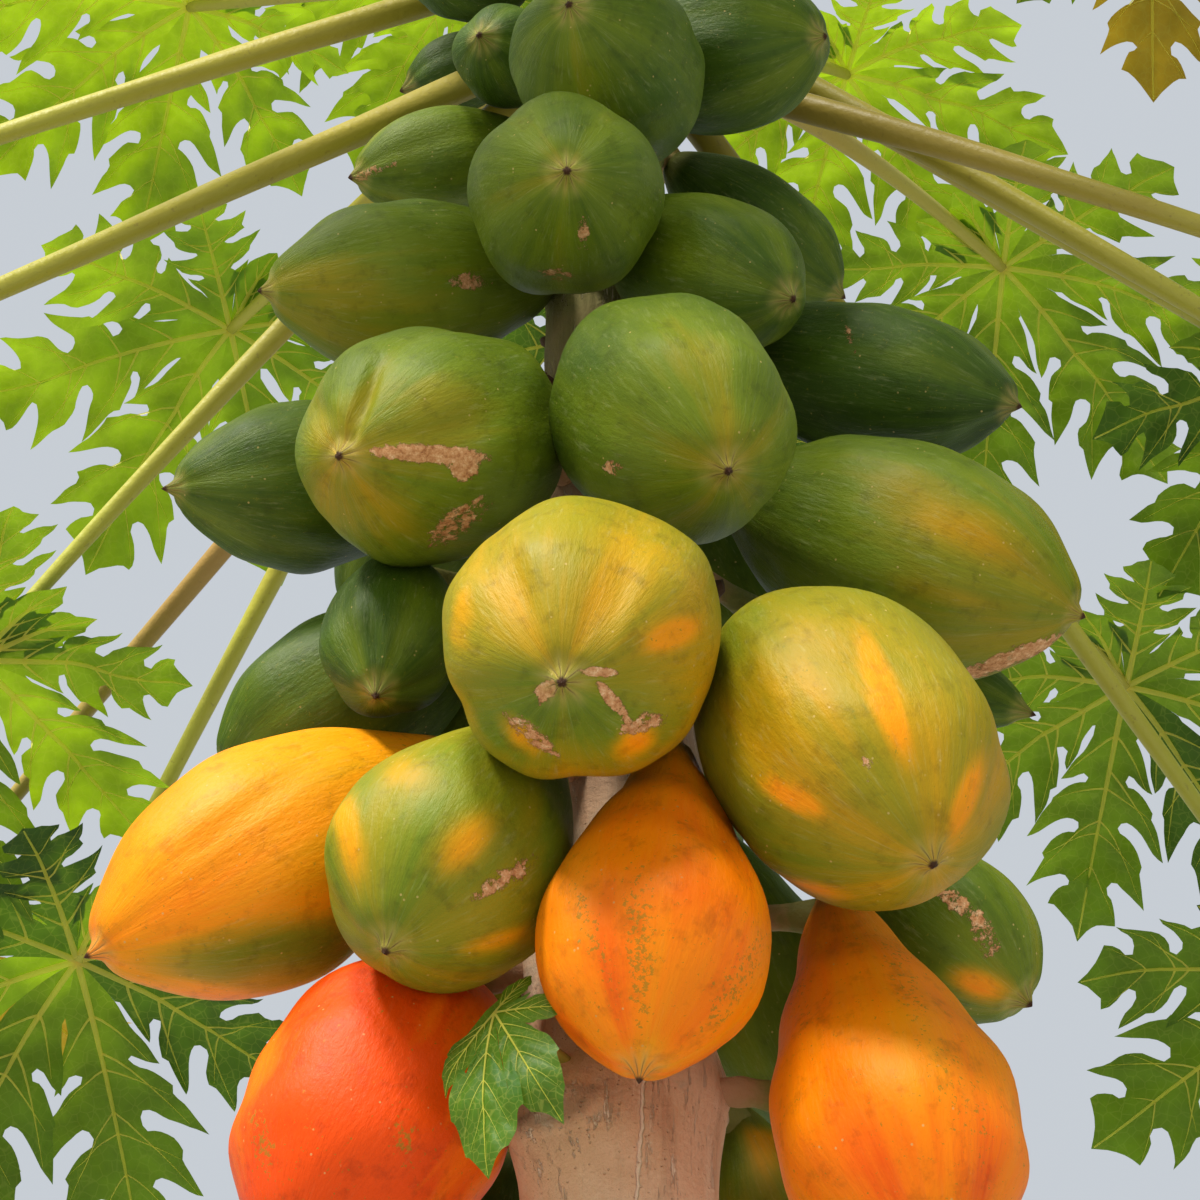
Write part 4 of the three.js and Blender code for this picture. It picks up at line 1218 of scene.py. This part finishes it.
def add_blade(blades, veins, name, leaf, middle, tone, seed):
    """One leaf's blade and veins."""
    kind = KINDS[leaf["form"]]
    size = leaf["blade"]
    for number in range(len(kind["lobes"])):
        rng = np.random.default_rng(seed * 31 + number)
        lobe = Lobe(kind, number, rng)
        flat, faces = lobe.mesh()
        local = np.column_stack([flat, lobe.lift(flat, seed)]) * size
        # each lobe gets a green of painted shade or painted sunlight by how sunlit its leaf is, give or take
        # a little
        shade = int(np.searchsorted(TONE_LIMITS, tone + rng.uniform(-.2, .2)))
        if kind["side"] == "young":
            shade = YOUNG_SHADE
        elif (name, number) in OLD_LOBES:
            shade = OLD_SHADE
        blades.add(leaf_to_tree(local, leaf, middle), faces, shade)
        for line, thick, end in lobe.veins:
            radii = VEIN_RADIUS * kind["vein"] * thick * np.linspace(1, end, len(line))
            local = np.column_stack([line, lobe.lift(line, seed)]) * size
            sides = 5 if thick == 1 else 4
            along = np.repeat(np.linspace(0, 1, len(line)), sides)
            for face in (-1, 1) if kind["side"] == "young" else (-1,):
                clear = VEIN_CLEARANCE * size if face == 1 else 0
                points = half_tube(local + [0, 0, clear], radii, sides, face)
                veins.add(leaf_to_tree(points, leaf, middle), strip_faces(len(line), sides), along=along)


def add_stalk(stalks, foot, bend, middle, thick, tint):
    points = bezier(foot, bend, middle, 34)
    share = np.linspace(0, 1, len(points))
    radii = np.interp(share, [0, .5, 1], LEAF_STALK) * thick
    radii = radii * (1 + .5 * bell(share, .03))
    stalks.add_tube(points, radii, 16, .03, tint=tint)


def leaf_foot(leaf):
    return around(leaf["at"], trunk_radius(leaf["foot"]) - .003, leaf["foot"])


def add_leaf(piles, name, leaf):
    blades, veins, stalks = piles
    seed = list(LEAVES).index(name) + 1
    rng = np.random.default_rng(seed)
    middle = around(leaf["at"], leaf["out"], leaf["up"])
    foot = leaf_foot(leaf)
    bend = (foot + middle) / 2 + np.array([0, 0, leaf["arch"]])
    tone = LEAF_TONES.get(name, rng.uniform(.3, .75))
    tint = STALK_TINTS.get(name, rng.uniform(.1, .5))
    add_stalk(stalks, foot, bend, middle, KINDS[leaf["form"]]["stalk"], tint)
    add_blade(blades, veins, name, leaf, middle, tone, seed)


def make_leaves():
    names = list(LEAVES)
    for number, group in enumerate((names[:8], names[8:16], names[16:]), 1):
        blades, veins, stalks = Pile(), Pile(), Pile()
        for name in group:
            add_leaf((blades, veins, stalks), name, LEAVES[name])
        pieces = [
            blades.piece(f"leaf_blades_{number}", "foliage", *LEAF_SHADES),
            veins.piece(f"leaf_veins_{number}", "foliage", MATERIALS["leaf_vein"]),
            stalks.piece(f"leaf_stalks_{number}", "foliage", MATERIALS["leaf_stalk"]),
        ]
        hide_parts(*group)


def make_bud():
    """The bud at the top of the trunk and its upright young leaves."""
    blades, veins, stalks = Pile(), Pile(), Pile()
    base = trunk_middle(TREE_TOP)
    profile = spline([(along * BUD_HEIGHT, share * BUD_RADIUS) for along, share in BUD_PROFILE], 24)
    points = base + np.column_stack([0 * profile[:, 0], 0 * profile[:, 0], profile[:, 0]])
    stalks.add_tube(points, profile[:, 1], 24, .12, tint=0)
    for number in range(BUD_LEAVES["count"]):
        share = number / (BUD_LEAVES["count"] - 1)
        at = BUD_LEAVES["first"] + number * GOLDEN_TURN
        spans = (BUD_LEAVES[key] for key in ("reach", "up", "blade", "foot"))
        reach, up, blade, foot = (np.interp(share, (0, 1), span) for span in spans)
        middle = around(at, reach, up)
        start = base + np.array([0, 0, BUD_HEIGHT * foot])
        bend = (start + middle) / 2 + outwards(at) * BUD_LEAVES["bow"]
        add_stalk(stalks, start, bend, middle, KINDS["tender"]["stalk"], 0)
        leaf = dict(at=at, droop=0, blade=blade, form="tender")
        add_blade(blades, veins, "bud", leaf, middle, BUD_LEAVES["tone"], 70 + number)
    blades = blades.piece("bud_blades", "foliage", *LEAF_SHADES)
    veins.piece("bud_veins", "foliage", MATERIALS["leaf_vein"])
    stalks.piece("bud_stalks", "foliage", MATERIALS["leaf_stalk"])
    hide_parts("bud")


# Stage


def make_floor():
    mesh = bpy.data.meshes.new("floor")
    corners = [(x * FLOOR_HALF, y * FLOOR_HALF, 0) for x, y in ((-1, -1), (1, -1), (1, 1), (-1, 1))]
    mesh.from_pydata(corners, [], [(0, 1, 2, 3)])
    mesh.materials.append(MATERIALS["ground"])
    floor = bpy.data.objects.new("floor", mesh)
    bpy.context.scene.collection.objects.link(floor)


def make_sun(name, place, energy, degrees, colour):
    """A sun that shines from place towards the column of fruit, with soft edges to its shadows."""
    data = bpy.data.lights.new(name, "SUN")
    data.energy = energy
    data.angle = math.radians(degrees)
    data.color = colour
    light = bpy.data.objects.new(name, data)
    light.location = place
    light.rotation_euler = (Vector(LIT_SPOT) - Vector(place)).to_track_quat("-Z", "Y").to_euler()
    bpy.context.scene.collection.objects.link(light)


def make_stage():
    make_floor()
    world = bpy.data.worlds.new("studio")
    world.use_nodes = True
    background = world.node_tree.nodes["Background"]
    background.inputs["Color"].default_value = STUDIO_COLOUR
    background.inputs["Strength"].default_value = STUDIO_STRENGTH
    bpy.context.scene.world = world
    bpy.context.scene.view_settings.view_transform = "Standard"
    for name, values in SUNS.items():
        make_sun(name, *values)


def make_camera():
    data = bpy.data.cameras.new("camera")
    data.sensor_fit = "HORIZONTAL"
    data.angle = math.radians(CAMERA_FIELD)
    camera = bpy.data.objects.new("camera", data)
    camera.location = CAMERA_PLACE
    camera.rotation_euler = (math.radians(90 + CAMERA_PITCH), 0, 0)
    bpy.context.scene.collection.objects.link(camera)
    bpy.context.scene.camera = camera


FEET = [(fruit_foot(fruit_place(fruit)[0]), FRUIT_FOOT, FOOT_SWELL) for fruit in FRUITS.values()]
FEET += [(leaf_foot(leaf), LEAF_FOOT, FOOT_SWELL) for name, leaf in LEAVES.items() if name != "young_leaf"]
FEET += [(around(spot["at"], trunk_radius(spot["up"]), spot["up"]), KNOB["size"], swell)
         for spot, swell in ((KNOB, KNOB_SWELL), (STUB, FOOT_SWELL))]

fruit_stalks = Pile()
for fruit_name in FRUITS:
    make_fruit(fruit_name, fruit_stalks)
add_stub(fruit_stalks)
add_dry_ends(fruit_stalks)
fruit_stalks.piece("fruit_stalks", "fruit_green", MATERIALS["fruit_stalk"])
make_leaves()
make_bud()
make_trunk()
make_stage()
make_camera()
